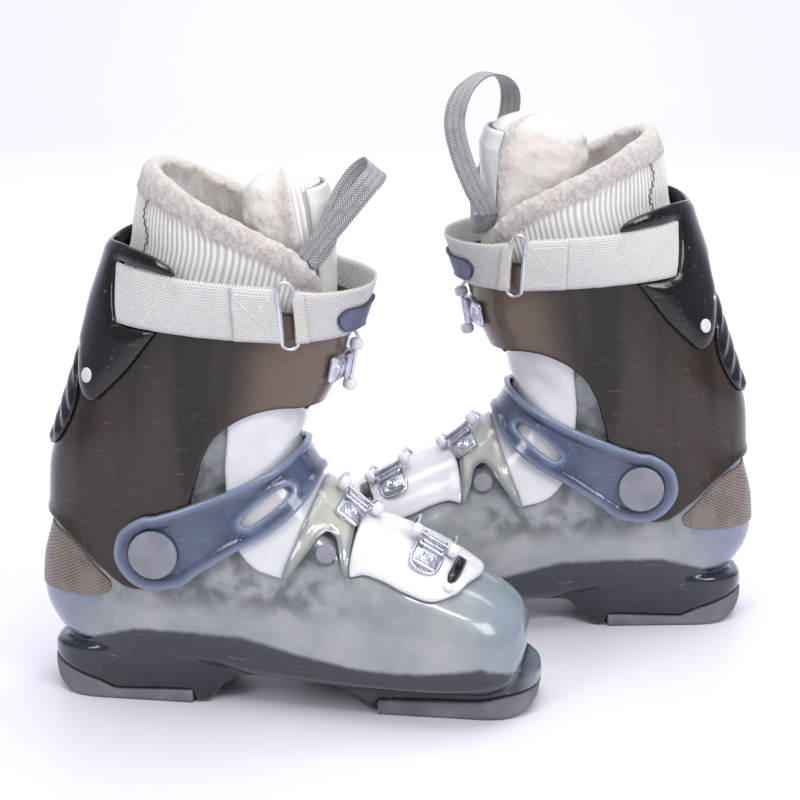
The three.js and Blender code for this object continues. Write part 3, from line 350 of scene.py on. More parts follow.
def panel(loops, d_in, d_out, radius=1.2, spacing=3.0, rows=(0.4, 1.0, 1.9), relief=None, lift=None):
    """Plate over the boot surface with rounded rims, inside its first loop of keys and outside
    the others. relief(p, e, s, phi) adds to the outer face, lift(s, phi) to both faces."""
    loops = [np.asarray(loop, float) for loop in loops]
    spread = lambda q: np.column_stack([body(q[:, 0], q[:, 1]), q[:, 1] * 15.0])
    rim = np.concatenate([spread(loop) for loop in loops])
    pts, edge, links = [], [], []
    for number, loop in enumerate(loops):
        start = len(pts)
        n = len(loop)
        pts.extend(loop)
        edge.extend([0.0] * n)
        links.extend((start + i, start + (i + 1) % n) for i in range(n))
        p = body(loop[:, 0], loop[:, 1])
        tangent = np.roll(p, -1, 0) - np.roll(p, 1, 0)
        tangent /= np.maximum(np.linalg.norm(tangent, axis=1, keepdims=True), 1e-9)
        m = np.cross(normal(loop[:, 0], loop[:, 1]), tangent)
        ps, pf = slopes(loop[:, 0], loop[:, 1])
        a, b, c = (ps * ps).sum(1), (ps * pf).sum(1), (pf * pf).sum(1)
        u, v = (ps * m).sum(1), (pf * m).sum(1)
        det = np.maximum(a * c - b * b, 1e-6)
        step = np.stack([(c * u - b * v) / det, (a * v - b * u) / det], 1)
        way = np.roll(loop, -1, 0) - np.roll(loop, 1, 0)
        x, y = loop[:, 0], loop[:, 1]
        area = np.sum(x * np.roll(y, -1) - np.roll(x, -1) * y)
        want = np.sign(area) * (1 if number == 0 else -1)
        sign = np.sign(way[:, 0] * step[:, 1] - way[:, 1] * step[:, 0]) * want
        for row in rows:
            q = loop + step * (sign * row)[:, None]
            far = nearest(spread(q), rim) > row * 0.9
            if row > 2.5:
                far &= np.arange(n) % 2 == 0
            pts.extend(q[far])
            edge.extend([row] * int(far.sum()))
    low, high = loops[0].min(0), loops[0].max(0)
    steps = spacing / DOMAIN
    gs = np.arange(low[0], high[0], steps[0])
    gf = np.arange(low[1], high[1], steps[1])
    grid = np.array([(s + (j % 2) * steps[0] / 2, f) for j, f in enumerate(gf) for s in gs])
    e = nearest(spread(grid), rim)
    ok = e > rows[-1] + spacing * 0.5
    pts.extend(grid[ok])
    edge.extend(e[ok])
    pts, edge = np.array(pts), np.array(edge)
    keep = edge == 0
    inner = crossings(pts, loops[0])
    for loop in loops[1:]:
        inner &= ~crossings(pts, loop)
    keep |= inner
    index = np.cumsum(keep) - 1
    pts, edge = pts[keep], edge[keep]
    links = [(int(index[a]), int(index[b])) for a, b in links]
    flat = [Vector(q) for q in (pts * DOMAIN).tolist()]
    verts, _, tris, ids, _, _ = delaunay_2d_cdt(flat, links, [], 0, 1e-7)
    co = np.array([tuple(v) for v in verts]) / DOMAIN
    e = np.array([edge[i[0]] if i else 0.5 for i in ids])
    tris = np.array([t[:3] for t in tris])
    mid = co[tris].mean(1)
    good = crossings(mid, loops[0])
    for loop in loops[1:]:
        good &= ~crossings(mid, loop)
    good &= ~(e[tris] == 0).all(1)
    tris = tris[good]
    used = np.zeros(len(co), bool)
    used[tris.ravel()] = True
    index = np.cumsum(used) - 1
    co, e, tris = co[used], e[used], index[tris]
    s, phi = co[:, 0], co[:, 1]
    base = lift(s, phi) if lift else np.zeros(len(s))
    surface = body(s, phi)
    extra = relief(surface, e, s, phi) if relief else np.zeros(len(s))
    q = np.sqrt(np.clip(1 - (1 - np.minimum(e / radius, 1)) ** 2, 0, 1))
    mid_d, half = (d_in + d_out) / 2, (d_out - d_in) / 2
    outer = over(s, phi, base + mid_d + (half + extra) * q)
    inner_face = over(s, phi, base + mid_d - half * q)
    free = e > 0
    second = np.where(free, len(s) + np.cumsum(free) - 1, np.arange(len(s)))
    points = np.concatenate([outer, inner_face[free]])
    faces = [tuple(t) for t in tris] + [tuple(second[t][::-1]) for t in tris]
    layers = {
        "edge": np.concatenate([e, e[free]]),
        "flat": np.concatenate([np.stack([s * DOMAIN[0], phi * DOMAIN[1], e], 1)] * 2)[
            np.concatenate([np.ones(len(s), bool), free])],
    }
    return points, faces, layers


def loft(rings, wrap=False, caps=True):
    """Closed skin over rings of equal length."""
    n = len(rings[0])
    points = [p for ring in rings for p in ring]
    faces = []
    count = len(rings)
    for i in range(count if wrap else count - 1):
        a, b = i * n, ((i + 1) % count) * n
        for j in range(n):
            k = (j + 1) % n
            faces.append((a + j, b + j, b + k, a + k))
    if not wrap and caps:
        for r, turn in ((0, 1), (count - 1, -1)):
            points.append(np.mean(rings[r], axis=0))
            m = len(points) - 1
            for j in range(n):
                k = (j + 1) % n
                faces.append((m, r * n + j, r * n + k)[::turn])
    return np.array(points, float), faces


def tube(path, radius, sides=12, wrap=False):
    """Round bar along a path, with rounded ends where it isn't a loop."""
    p = np.array(path, float)
    n = len(p)
    if not wrap:
        first = (p[0] - p[1]) / np.linalg.norm(p[0] - p[1])
        last = (p[-1] - p[-2]) / np.linalg.norm(p[-1] - p[-2])
        caps = [(0.98, 0.2), (0.8, 0.62), (0.45, 0.9)]
        before = [p[0] + first * radius * a for a, _ in caps]
        after = [p[-1] + last * radius * a for a, _ in caps[::-1]]
        p = np.concatenate([before, p, after])
        scale = [b for _, b in caps] + [1.0] * n + [b for _, b in caps[::-1]]
        n = len(p)
    else:
        scale = [1.0] * n
    if wrap:
        tangents = np.roll(p, -1, 0) - np.roll(p, 1, 0)
    else:
        tangents = np.gradient(p, axis=0)
    tangents /= np.linalg.norm(tangents, axis=1, keepdims=True)
    side = np.cross(tangents[0], (0.13, 0.21, 0.97))
    if np.linalg.norm(side) < 0.1:
        side = np.cross(tangents[0], (1, 0, 0))
    frames = []
    for t in tangents:
        side = side - t * np.dot(side, t)
        side /= np.linalg.norm(side)
        frames.append((side, np.cross(t, side)))
    twist = 0.0
    if wrap:
        back = side - tangents[0] * np.dot(side, tangents[0])
        back /= np.linalg.norm(back)
        twist = math.atan2(np.dot(back, frames[0][1]), np.dot(back, frames[0][0]))
    rings = []
    for i in range(n):
        a, b = frames[i]
        r = radius * scale[i]
        w = np.arange(sides) * 2 * PI / sides - (twist * i / n)
        rings.append(p[i] + r * (np.cos(w)[:, None] * a + np.sin(w)[:, None] * b))
    return loft(rings, wrap)


def joined(parts):
    """Several point and face lists as one."""
    points, faces, start = [], [], 0
    for p, f in parts:
        points.append(np.asarray(p, float))
        faces.extend(tuple(i + start for i in face) for face in f)
        start += len(p)
    return np.concatenate(points), faces


def spline(points, count, closed=False):
    """Smooth curve through 3-D points, evenly spaced."""
    p = np.array(points, float)
    n = len(p)
    out = []
    for i in range(n if closed else n - 1):
        if closed:
            a, b, c, d = p[i - 1], p[i], p[(i + 1) % n], p[(i + 2) % n]
        else:
            a, b, c, d = p[max(i - 1, 0)], p[i], p[i + 1], p[min(i + 2, n - 1)]
        for f in np.linspace(0, 1, 20, endpoint=False):
            out.append(0.5 * (2 * b + (c - a) * f + (2 * a - 5 * b + 4 * c - d) * f**2
                              + (3 * b - a - 3 * c + d) * f**3))
    out.append(p[0] if closed else p[-1])
    out = np.array(out)
    length = np.concatenate([[0], np.cumsum(np.linalg.norm(np.diff(out, axis=0), axis=1))])
    at = np.linspace(0, length[-1], count + 1 if closed else count)
    if closed:
        at = at[:-1]
    return np.stack([np.interp(at, length, out[:, k]) for k in range(p.shape[1])], 1)


# ---------------------------------------------------------------- materials
def srgb(r, g, b):
    """Linear colour of an 8-bit display colour."""
    lin = [(v / 255 / 12.92) if v <= 10 else ((v / 255 + 0.055) / 1.055) ** 2.4 for v in (r, g, b)]
    return (*lin, 1.0)


class Look:
    """A node material with short calls for the nodes that the looks share."""

    def __init__(self, name, **settings):
        self.mat = bpy.data.materials.new(name)
        self.mat.use_nodes = True
        self.tree = self.mat.node_tree
        self.shader = self.tree.nodes["Principled BSDF"]
        for key, value in settings.items():
            self.shader.inputs[key.replace("_", " ")].default_value = value

    def node(self, kind, inputs=None, out=0, **props):
        made = self.tree.nodes.new("ShaderNode" + kind)
        for key, value in props.items():
            setattr(made, key, value)
        for key, value in (inputs or {}).items():
            self.feed(made.inputs[key], value)
        return made.outputs[out]

    def feed(self, socket, value):
        if isinstance(value, bpy.types.NodeSocket):
            self.tree.links.new(value, socket)
        else:
            socket.default_value = value

    def layer(self, name, vector=False):
        made = self.tree.nodes.new("ShaderNodeAttribute")
        made.attribute_name = name
        return made.outputs["Vector" if vector else "Fac"]

    def part(self, vector, axis):
        return self.node("SeparateXYZ", {0: vector}, out="XYZ".index(axis))

    def math(self, operation, a, b=0.0, clamp=False):
        return self.node("Math", {0: a, 1: b}, operation=operation, use_clamp=clamp)

    def step(self, value, low, high, to=(0.0, 1.0)):
        inputs = {0: value, 1: low, 2: high, 3: to[0], 4: to[1]}
        return self.node("MapRange", inputs, interpolation_type="SMOOTHSTEP")

    def noise(self, vector, size, detail=3.0, rough=0.55, warp=0.0):
        inputs = {"Vector": vector, "Scale": 1 / size, "Detail": detail, "Roughness": rough}
        inputs["Distortion"] = warp
        return self.node("TexNoise", inputs)

    def mix(self, factor, a, b, blend="MIX"):
        made = self.tree.nodes.new("ShaderNodeMix")
        made.data_type = "RGBA"
        made.blend_type = blend
        self.feed(made.inputs[0], factor)
        self.feed(made.inputs[6], a)
        self.feed(made.inputs[7], b)
        return made.outputs[2]

    def stretch(self, vector, scale):
        return self.node("Mapping", {0: vector, 3: scale})

    def bump(self, height, distance, strength=1.0, after=None):
        inputs = {"Height": height, "Distance": distance * MM, "Strength": strength}
        if after is not None:
            inputs["Normal"] = after
        return self.node("Bump", inputs)

    def finish(self, color=None, roughness=None, normal=None):
        for key, value in (("Base Color", color), ("Roughness", roughness), ("Normal", normal)):
            if value is not None:
                self.feed(self.shader.inputs[key], value)
        return self.mat

    def scratches(self, local, size=30.0):
        """Fine long scratches, from 0 to 1."""
        long = self.stretch(local, (0.25, 1.0, 1.6))
        thin = self.noise(long, size * 0.08, 2.0, 0.7, 1.2)
        return self.step(thin, 0.66, 0.74)


def plastic(name, color, rim, patch, roughness=0.2, coat=0.6, scatter=0.0, rim_width=5.0, grain=0.05,
            gloss=0.42):
    """Moulded plastic: paler or darker along its rim, cloudy inside, with faint scratches."""
    look = Look(name, Coat_Weight=coat, Coat_Roughness=0.08, Specular_IOR_Level=gloss,
                Subsurface_Weight=scatter, Subsurface_Radius=(0.006, 0.006, 0.007), Subsurface_Scale=1.0)
    local = look.layer("local", True)
    cloud = look.noise(local, 28, 3)
    base = look.mix(look.step(cloud, 0.35, 0.65), color, patch)
    edge = look.step(look.layer("edge"), 0.0, rim_width)
    base = look.mix(edge, rim, base)
    marks = look.scratches(local)
    base = look.mix(look.math("MULTIPLY", marks, 0.25), base, srgb(225, 225, 228))
    fine = look.noise(local, 1.6, 3)
    rough = look.step(look.noise(local, 9, 4), 0.3, 0.7, (roughness * 0.8, roughness * 1.35))
    return look.finish(base, rough, look.bump(fine, grain))


def shell_look():
    look = Look("milky_shell_plastic", Coat_Weight=0.7, Coat_Roughness=0.06, Subsurface_Weight=0.35,
                Subsurface_Radius=(0.005, 0.006, 0.007), Subsurface_Scale=1.0)
    local = look.layer("local", True)
    x, z = look.part(local, "X"), look.part(local, "Z")
    band = look.layer("band")
    cloud = look.noise(local, 40, 3)
    silver = look.mix(look.step(cloud, 0.25, 0.75), srgb(142, 147, 151), srgb(168, 171, 171))
    smoke = look.noise(local, 16, 2.5, 0.5, 0.3)
    smoke = look.step(smoke, 0.36, 0.66)
    near_ankle = look.math("MULTIPLY", look.step(z, 55, 78), look.step(x, 215, 150))
    silver = look.mix(look.math("MULTIPLY", smoke, near_ankle), silver, srgb(92, 98, 100))
    tip = look.step(look.math("ADD", x, look.math("MULTIPLY", z, 0.25)), 262, 300)
    silver = look.mix(tip, silver, srgb(136, 148, 158))
    heel = look.step(look.math("ADD", x, look.math("MULTIPLY", z, -0.32)), 26, -2)
    silver = look.mix(heel, silver, srgb(128, 134, 158))
    rough_line = look.math("ADD", band, look.math("MULTIPLY", look.noise(local, 7, 3), 2.2))
    dark = look.step(rough_line, 3.4, -0.6)
    deep = look.mix(look.step(z, 34, 8), srgb(24, 31, 49), srgb(9, 12, 22))
    base = look.mix(dark, silver, deep)
    lug = look.layer("lug")
    base = look.mix(lug, base, srgb(120, 128, 142))
    marks = look.scratches(local, 40)
    base = look.mix(look.math("MULTIPLY", marks, 0.22), base, srgb(205, 210, 215))
    rough = look.step(look.noise(local, 10, 4), 0.3, 0.7, (0.16, 0.3))
    fine = look.noise(local, 2.2, 3)
    return look.finish(base, rough, look.bump(fine, 0.05))


def cuff_look():
    look = Look("smoky_cuff_plastic", Coat_Weight=0.35, Coat_Roughness=0.05, Specular_IOR_Level=0.3,
                Subsurface_Weight=0.15, Subsurface_Radius=(0.006, 0.004, 0.003), Subsurface_Scale=1.0)
    local = look.layer("local", True)
    x, z = look.part(local, "X"), look.part(local, "Z")
    slant = look.math("SUBTRACT", x, look.math("MULTIPLY", z, 0.22))
    band = look.noise(look.stretch(local, (1.0, 0.3, 0.12)), 26, 2, 0.5, 0.3)
    dark = look.mix(look.step(band, 0.38, 0.62), srgb(26, 19, 15), srgb(56, 46, 40))
    tan = look.step(slant, 72, 104)
    base = look.mix(look.math("MULTIPLY", tan, 0.85), dark, srgb(112, 96, 82))
    base = look.mix(look.step(slant, 112, 128), base, srgb(104, 90, 80))
    low = look.step(z, 128, 96)
    base = look.mix(look.math("MULTIPLY", low, 0.6), base, srgb(50, 40, 34))
    edge = look.step(look.layer("edge"), 0.0, 3.2)
    base = look.mix(edge, srgb(48, 38, 32), base)
    marks = look.scratches(local, 34)
    base = look.mix(look.math("MULTIPLY", marks, 0.3), base, srgb(150, 138, 126))
    rough = look.step(look.noise(local, 12, 4), 0.3, 0.7, (0.12, 0.24))
    return look.finish(base, rough, look.bump(look.noise(local, 3, 3), 0.05))


def insert_look():
    """Brown moulded mesh with rows of small round dimples."""
    look = Look("dimpled_heel_insert", Coat_Weight=0.35, Coat_Roughness=0.2)
    flat = look.layer("local", True)
    cells = look.node("Mapping", {0: flat, 2: (0, math.radians(38), 0), 3: (0.42, 0.0, 0.62)})
    dots = look.node("TexVoronoi", {"Vector": cells, "Scale": 1.0, "Randomness": 0.0}, out=0)
    hole = look.step(dots, 0.22, 0.36)
    cloud = look.noise(flat, 16, 3)
    brown = look.mix(look.step(cloud, 0.35, 0.65), srgb(88, 76, 69), srgb(118, 105, 97))
    base = look.mix(hole, srgb(164, 152, 140), brown)
    return look.finish(base, 0.42, look.bump(hole, 0.5))


def rubber(name, color, patch, roughness=0.6):
    """Sole rubber with pits and ground-in dirt."""
    look = Look(name, Specular_IOR_Level=0.4)
    local = look.layer("local", True)
    base = look.mix(look.step(look.noise(local, 22, 4), 0.35, 0.65), color, patch)
    pits = look.step(look.noise(local, 2.4, 2, 0.5), 0.7, 0.76)
    base = look.mix(look.math("MULTIPLY", pits, 0.7), base, srgb(52, 50, 50))
    low = look.step(look.part(local, "Z"), 3.0, 0.2)
    base = look.mix(look.math("MULTIPLY", low, 0.5), base, srgb(80, 77, 74))
    height = look.math("SUBTRACT", look.noise(local, 1.2, 4), pits)
    return look.finish(base, look.step(look.noise(local, 5, 3), 0.3, 0.7, (roughness, roughness * 1.25)),
                       look.bump(height, 0.18))


def steel(name="polished_steel", roughness=0.27, color=(220, 221, 230)):
    look = Look(name, Metallic=1.0)
    local = look.layer("local", True)
    brushed = look.noise(look.stretch(local, (1.0, 3.0, 1.0)), 6, 2, 0.5)
    base = look.mix(look.step(look.noise(local, 12, 3), 0.4, 0.7), srgb(*color), srgb(188, 190, 200))
    rough = look.step(brushed, 0.3, 0.7, (roughness * 0.8, roughness * 1.5))
    return look.finish(base, rough, look.bump(brushed, 0.002))


def webbing(name, color, shade, thread, ridge, slope, fuzz, sheen):
    """Woven tape. Its flat layer holds the place along the tape and across it."""
    look = Look(name, Sheen_Weight=sheen, Sheen_Roughness=0.4)
    flat = look.layer("flat", True)
    u, v = look.part(flat, "X"), look.part(flat, "Y")
    lean = look.math("ADD", look.math("MULTIPLY", u, 1.0), look.math("MULTIPLY", v, slope))
    twill = look.math("SINE", look.math("MULTIPLY", lean, 2 * PI / thread))
    weft = look.math("SINE", look.math("MULTIPLY", v, 2 * PI / ridge))
    weave = look.math("ADD", look.math("MULTIPLY", twill, 0.6), look.math("MULTIPLY", weft, 0.4))
    lint = look.noise(flat, 1.1, 4, 0.7)
    dirt = look.step(look.noise(flat, 17, 5, 0.6), 0.46, 0.72)
    base = look.mix(look.step(weave, -0.7, 0.8), shade, color)
    base = look.mix(look.math("MULTIPLY", dirt, 0.45), base, shade)
    base = look.mix(look.math("MULTIPLY", look.step(lint, 0.6, 0.72), fuzz), base, srgb(245, 243, 240))
    height = look.math("ADD", weave, look.math("MULTIPLY", lint, 1.2 * fuzz))
    return look.finish(base, look.step(lint, 0.3, 0.7, (0.55, 0.85)), look.bump(height, 0.3))


def herringbone(name, color, shade):
    """Grey tape woven in narrow zigzag columns."""
    look = Look(name, Sheen_Weight=0.25, Sheen_Roughness=0.4)
    flat = look.layer("flat", True)
    u, v = look.part(flat, "X"), look.part(flat, "Y")
    fold = look.math("PINGPONG", v, 1.9)
    lean = look.math("ADD", u, look.math("MULTIPLY", fold, 1.3))
    wave = look.math("SINE", look.math("MULTIPLY", lean, 2 * PI / 1.7))
    gap = look.step(look.math("PINGPONG", v, 1.9), 0.0, 0.35)
    weave = look.math("MULTIPLY", look.step(wave, -0.5, 0.6), gap)
    base = look.mix(weave, shade, color)
    base = look.mix(look.math("MULTIPLY", look.step(look.noise(flat, 8, 4), 0.5, 0.7), 0.4), base, shade)
    return look.finish(base, 0.6, look.bump(weave, 0.35))


def fleece_look():
    """Fleece lining with matted grey lint near the worn lip, and corded cloth outside it."""
    look = Look("fleece_and_corded_cloth", Sheen_Weight=0.6, Sheen_Roughness=0.6, Subsurface_Weight=0.15,
                Subsurface_Radius=(0.004, 0.003, 0.002), Subsurface_Scale=1.0)
    local, soft = look.layer("local", True), look.layer("fleece")
    worn = look.layer("worn")
    curl = look.noise(local, 1.5, 5, 0.8, 0.6)
    cloud = look.noise(local, 20, 4)
    cream = look.mix(look.step(cloud, 0.35, 0.65), srgb(244, 235, 226), srgb(252, 248, 244))
    tufts = look.step(look.noise(local, 2.2, 5, 0.75), 0.36, 0.64)
    lint = look.mix(tufts, srgb(188, 180, 176), srgb(232, 225, 219))
    lint = look.mix(look.step(look.noise(local, 1.3, 3, 0.7), 0.6, 0.7), lint, srgb(158, 150, 150))
    fleece = look.mix(look.math("MULTIPLY", worn, look.step(cloud, 0.2, 0.45, (0.65, 1.0))), cream, lint)
    cord = look.layer("cord")
    # The cloth's colour follows the cord ribs: the cloth's own corded tone, with painted shade in the grooves
    # and painted highlight on the crests.
    cloth = look.mix(look.step(cord, -0.8, 0.6), srgb(190, 186, 184), srgb(236, 233, 231))
    base = look.mix(soft, cloth, fleece)
    height = look.math("MULTIPLY", curl, look.math("ADD", soft, 0.15))
    weave = look.noise(local, 0.7, 2)
    height = look.math("ADD", height, look.math("MULTIPLY", weave, 0.15))
    return look.finish(base, 0.92, look.bump(height, 1.5))


LOOKS = {
    "shell": shell_look(),
    "cuff": cuff_look(),
    "white": plastic("gloss_white_plastic", srgb(228, 228, 232), srgb(206, 208, 215), srgb(219, 220, 225),
                     0.22, 0.6, 0.2, 3.0, 0.03),
    "blue": plastic("slate_blue_translucent_plastic", srgb(54, 64, 90), srgb(124, 136, 161),
                    srgb(78, 90, 116), 0.2, 0.7, 0.35, 6.0),
    "flap": plastic("smoky_green_grey_plastic", srgb(190, 191, 182), srgb(126, 132, 134),
                    srgb(172, 174, 167), 0.2, 0.8, 0.35, 4.5),
    "black": plastic("gloss_black_plastic", srgb(20, 19, 24), srgb(40, 36, 38), srgb(12, 12, 16),
                     0.14, 0.45, 0.0, 2.0, gloss=0.3),
    "insert": insert_look(),
    "pad": rubber("grey_sole_rubber", srgb(126, 126, 132), srgb(108, 108, 114)),
    "pivot": rubber("matt_grey_rivet", srgb(140, 141, 150), srgb(124, 126, 136), 0.42),
    "steel": steel(),
    "knob": plastic("white_nylon", srgb(232, 233, 238), srgb(232, 233, 238), srgb(218, 220, 226),
                    0.35, 0.3, 0.3, 1.0),
    "strap": webbing("silver_white_webbing", srgb(236, 234, 233), srgb(196, 192, 192),
                     1.9, 1.3, 0.9, 0.6, 0.5),
    "hem": webbing("cream_folded_webbing", srgb(240, 237, 232), srgb(206, 200, 192),
                   1.6, 1.1, 0.9, 0.5, 0.4),
    "thread": plastic("pale_thread", srgb(236, 234, 230), srgb(236, 234, 230), srgb(214, 210, 204),
                      0.6, 0.0, 0.0, 1.0),
    "dark_thread": plastic("dark_thread", srgb(70, 68, 72), srgb(70, 68, 72), srgb(56, 54, 58),
                           0.6, 0.0, 0.0, 1.0),
    "tab": plastic("slate_blue_rubber", srgb(98, 104, 132), srgb(52, 56, 78), srgb(84, 90, 118),
                   0.5, 0.1, 0.0, 1.6),
    "loop": herringbone("grey_herringbone_tape", srgb(204, 202, 203), srgb(112, 111, 116)),
    "fleece": fleece_look(),
    "shield": plastic("pale_grey_tongue_plastic", srgb(214, 216, 214), srgb(196, 199, 200),
                      srgb(224, 225, 222), 0.35, 0.3, 0.3, 3.0),
}


# ---------------------------------------------------------------- lower shell and soles
SOLE_TOP = ([-2, 4, 16, 60, 240, 272, 292, 302], [27, 31, 33, 34, 34, 31, 27, 24])
SOLE_LOW = (
    [-2, 3, 16, 33, 44, 92.3, 93.4, 102, 109, 118, 158, 179, 194, 203, 204.6, 266, 281, 302],
    [19.5, 19.8, 16, 11.4, 6.6, 8.4, 0.6, 0.8, 9.5, 17, 18, 14, 5, 0.8, 9.4, 11.4, 14.4, 15.6],
)
BAND_LINE = ([0, 30, 59, 95, 125, 161, 197, 232, 268, 290], [34, 39, 49, 49.5, 49, 41, 35, 35, 38, 30])
CREASE_LINE = ([118, 150, 200, 250, 290], [33, 31, 28.5, 29, 29])
SHELL_OPENING = np.array([
    (-40, 117), (60, 119), (92, 119), (112, 112), (140, 100), (151, 99), (160, 113), (190, 113),
    (205, 105), (219, 102), (228, 140), (240, 330), (-40, 330),
], float)


def sole_half(x):
    """Half width of the sole at x."""
    if x > 262:
        u = min((x - 262) / (SOLE_LENGTH - 262), 1)
        return 34.5 * max(1 - u**2.4, 0) ** (1 / 2.4)
    if x < 38:
        u = min((38 - x) / 38, 1)
        return 34 * max(1 - u**2.3, 0) ** (1 / 2.3)
    if x <= 95 or x >= 203:
        return 34.0 if x <= 95 else 34.5
    u = (x - 95) / 108
    return 29 + (34 + 0.5 * u - 29) * abs(2 * u - 1) ** 3


def rounded_ring(x, half, low, high, radius, per_corner=5):
    """Upright rounded rectangle across the sole at x."""
    r = min(radius, half * 0.98, (high - low) * 0.49)
    right, top, bottom = half - r, high - r, low + r
    corners = [(right, top, 0), (-right, top, 1), (-right, bottom, 2), (right, bottom, 3)]
    out = []
    for y, z, quarter in corners:
        for k in range(per_corner):
            a = (quarter + k / (per_corner - 1)) * PI / 2
            out.append((x, y + r * math.cos(a), z + r * math.sin(a)))
    return np.array(out)


def sole_block(xs, low, high, radius, ends=0.4):
    rings = []
    for x in xs:
        half = max(sole_half(x), ends)
        rings.append(rounded_ring(x, half, np.interp(x, *low), np.interp(x, *high), radius))
    return loft(rings)


def skin_edges(faces):
    """Edges of a face list, and those with one face only."""
    count = {}
    for f in faces:
        for i, a in enumerate(f):
            b = f[(i + 1) % len(f)]
            key = (a, b) if a < b else (b, a)
            count[key] = count.get(key, 0) + 1
    pairs = np.array(list(count))
    single = np.array([n == 1 for n in count.values()])
    return pairs, single


def relax(points, pairs, turns, pull=0.5):
    """Evens out a mesh by drawing each point towards its neighbours."""
    p = points.copy()
    total = np.bincount(pairs.ravel(), minlength=len(p))[:, None]
    for _ in range(turns):
        sums = np.zeros_like(p)
        np.add.at(sums, pairs[:, 0], p[pairs[:, 1]])
        np.add.at(sums, pairs[:, 1], p[pairs[:, 0]])
        p += (sums / np.maximum(total, 1) - p) * pull
    return p


def remeshed(parts, size):
    """One even skin round several overlapping solids, in mm."""
    points, faces = joined(parts)
    mesh = bpy.data.meshes.new("raw")
    mesh.from_pydata(points.tolist(), [], faces)
    obj = bpy.data.objects.new("raw", mesh)
    bpy.context.scene.collection.objects.link(obj)
    step = obj.modifiers.new("skin", "REMESH")
    step.mode = "VOXEL"
    step.voxel_size = size
    made = obj.evaluated_get(bpy.context.evaluated_depsgraph_get()).to_mesh()
    out = np.array([v.co for v in made.vertices])
    quads = [tuple(f.vertices) for f in made.polygons]
    bpy.data.objects.remove(obj)
    bpy.data.meshes.remove(mesh)
    return out, quads


def outward(points, faces):
    return faces if signed_volume(points - points.mean(0), faces) > 0 else [f[::-1] for f in faces]


def onto_line(points, line):
    """Side-view points moved to the nearest place on a polyline."""
    best = np.full(len(points), 1e9)
    out = points.copy()
    for a, b in zip(line[:-1], line[1:]):
        d = b - a
        f = np.clip(((points - a) @ d) / (d @ d), 0, 1)
        q = a + f[:, None] * d
        miss = np.linalg.norm(points - q, axis=1)
        out[miss < best] = q[miss < best]
        best = np.minimum(best, miss)
    return out


def shell_skin():
    """Clog of the boot with its sole flange, as one flowing skin that is open at the top."""
    rings = []
    phis = np.linspace(0, 2 * PI, 96, endpoint=False)
    for s in np.arange(0, 15.9, 0.2):
        p = body(s, phis)
        n = normal(np.full(96, max(s, 0.3)), phis)
        crease = np.interp(p[:, 0], *CREASE_LINE)
        swell = smooth((crease - p[:, 2]) / 1.6 + 0.5) * smooth((p[:, 0] - 112) / 20)
        swell *= smooth((292 - p[:, 0]) / 12)
        swell *= smooth((np.abs(p[:, 1]) - 24) / 10)
        rings.append(p + n * (2.4 * swell)[:, None])
    tub = loft(rings)
    tub = (tub[0], outward(*tub))
    stretches = [np.linspace(0, 38, 22), np.linspace(38, 262, 120), np.linspace(262, 300, 24), [92.6, 93.2]]
    xs = np.unique(np.concatenate(stretches))
    base = sole_block(xs, SOLE_LOW, SOLE_TOP, 2.2)
    base = (base[0], outward(*base))
    points, faces = remeshed([tub, base], 1.5)
    pairs, _ = skin_edges(faces)
    points = relax(points, pairs, 7)
    faces = outward(points, faces)
    gone = crossings(points[:, [0, 2]], SHELL_OPENING)
    faces = [f for f in faces if not gone[list(f)].any()]
    used = np.zeros(len(points), bool)
    used[[i for f in faces for i in f]] = True
    index = np.cumsum(used) - 1
    faces = [tuple(int(index[i]) for i in f) for f in faces]
    points = points[used]
    pairs, single = skin_edges(faces)
    rim = np.unique(pairs[single])
    line = SHELL_OPENING[:11]
    points[rim[:, None], [0, 2]] = onto_line(points[rim][:, [0, 2]], line)
    middle = np.interp(points[rim, 0], [0, 60, 200], [45, 75, 190])
    towards = np.stack([middle - points[rim, 0], -points[rim, 1], np.full(len(rim), -10.0)], 1)
    towards /= np.linalg.norm(towards, axis=1, keepdims=True)
    lip = {int(v): len(points) + k for k, v in enumerate(rim)}
    points = np.concatenate([points, points[rim] + towards * 3.4])
    have = {}
    for f in faces:
        for i, a in enumerate(f):
            have[(a, f[(i + 1) % len(f)])] = True
    for a, b in pairs[single]:
        a, b = int(a), int(b)
        if (a, b) not in have:
            a, b = b, a
        faces.append((b, a, lip[a], lip[b]))
    return points, faces


def lower_shell(side, skin):
    points, faces = skin
    x, z = points[:, 0], points[:, 2]
    lug = smooth((x - 287) / 9) * smooth((33 - z) / 5) + smooth((9 - x) / 8) * smooth((36 - z) / 6) * 0.5
    layers = {
        "band": z - np.interp(x, *BAND_LINE),
        "lug": np.clip(lug, 0, 1) * 0.75,
    }
    build(side, "clog_shell", points, faces, "boot", "shell", "lower_shell", layers)
    # The part of the shell that stands up inside the cuff, behind the white tongue.
    half = [(9.6, 0.9), (10.6, 0.72), (12.5, 0.62), (15.6, 0.62), (15.9, 0.9), (15.6, 1.5)]
    half += [(12.0, 1.7), (9.9, 1.35)]
    for number, loop in enumerate((half, flip(half)[::-1])):
        points, faces, more = panel([dense(loop, 2.0)], -4.4, -3.0, 0.7)
        more["band"] = np.full(len(points), 30.0)
        more["lug"] = np.zeros(len(points))
        build(side, f"shell_wing_{number}", points, faces, "boot", "shell", layers=more)


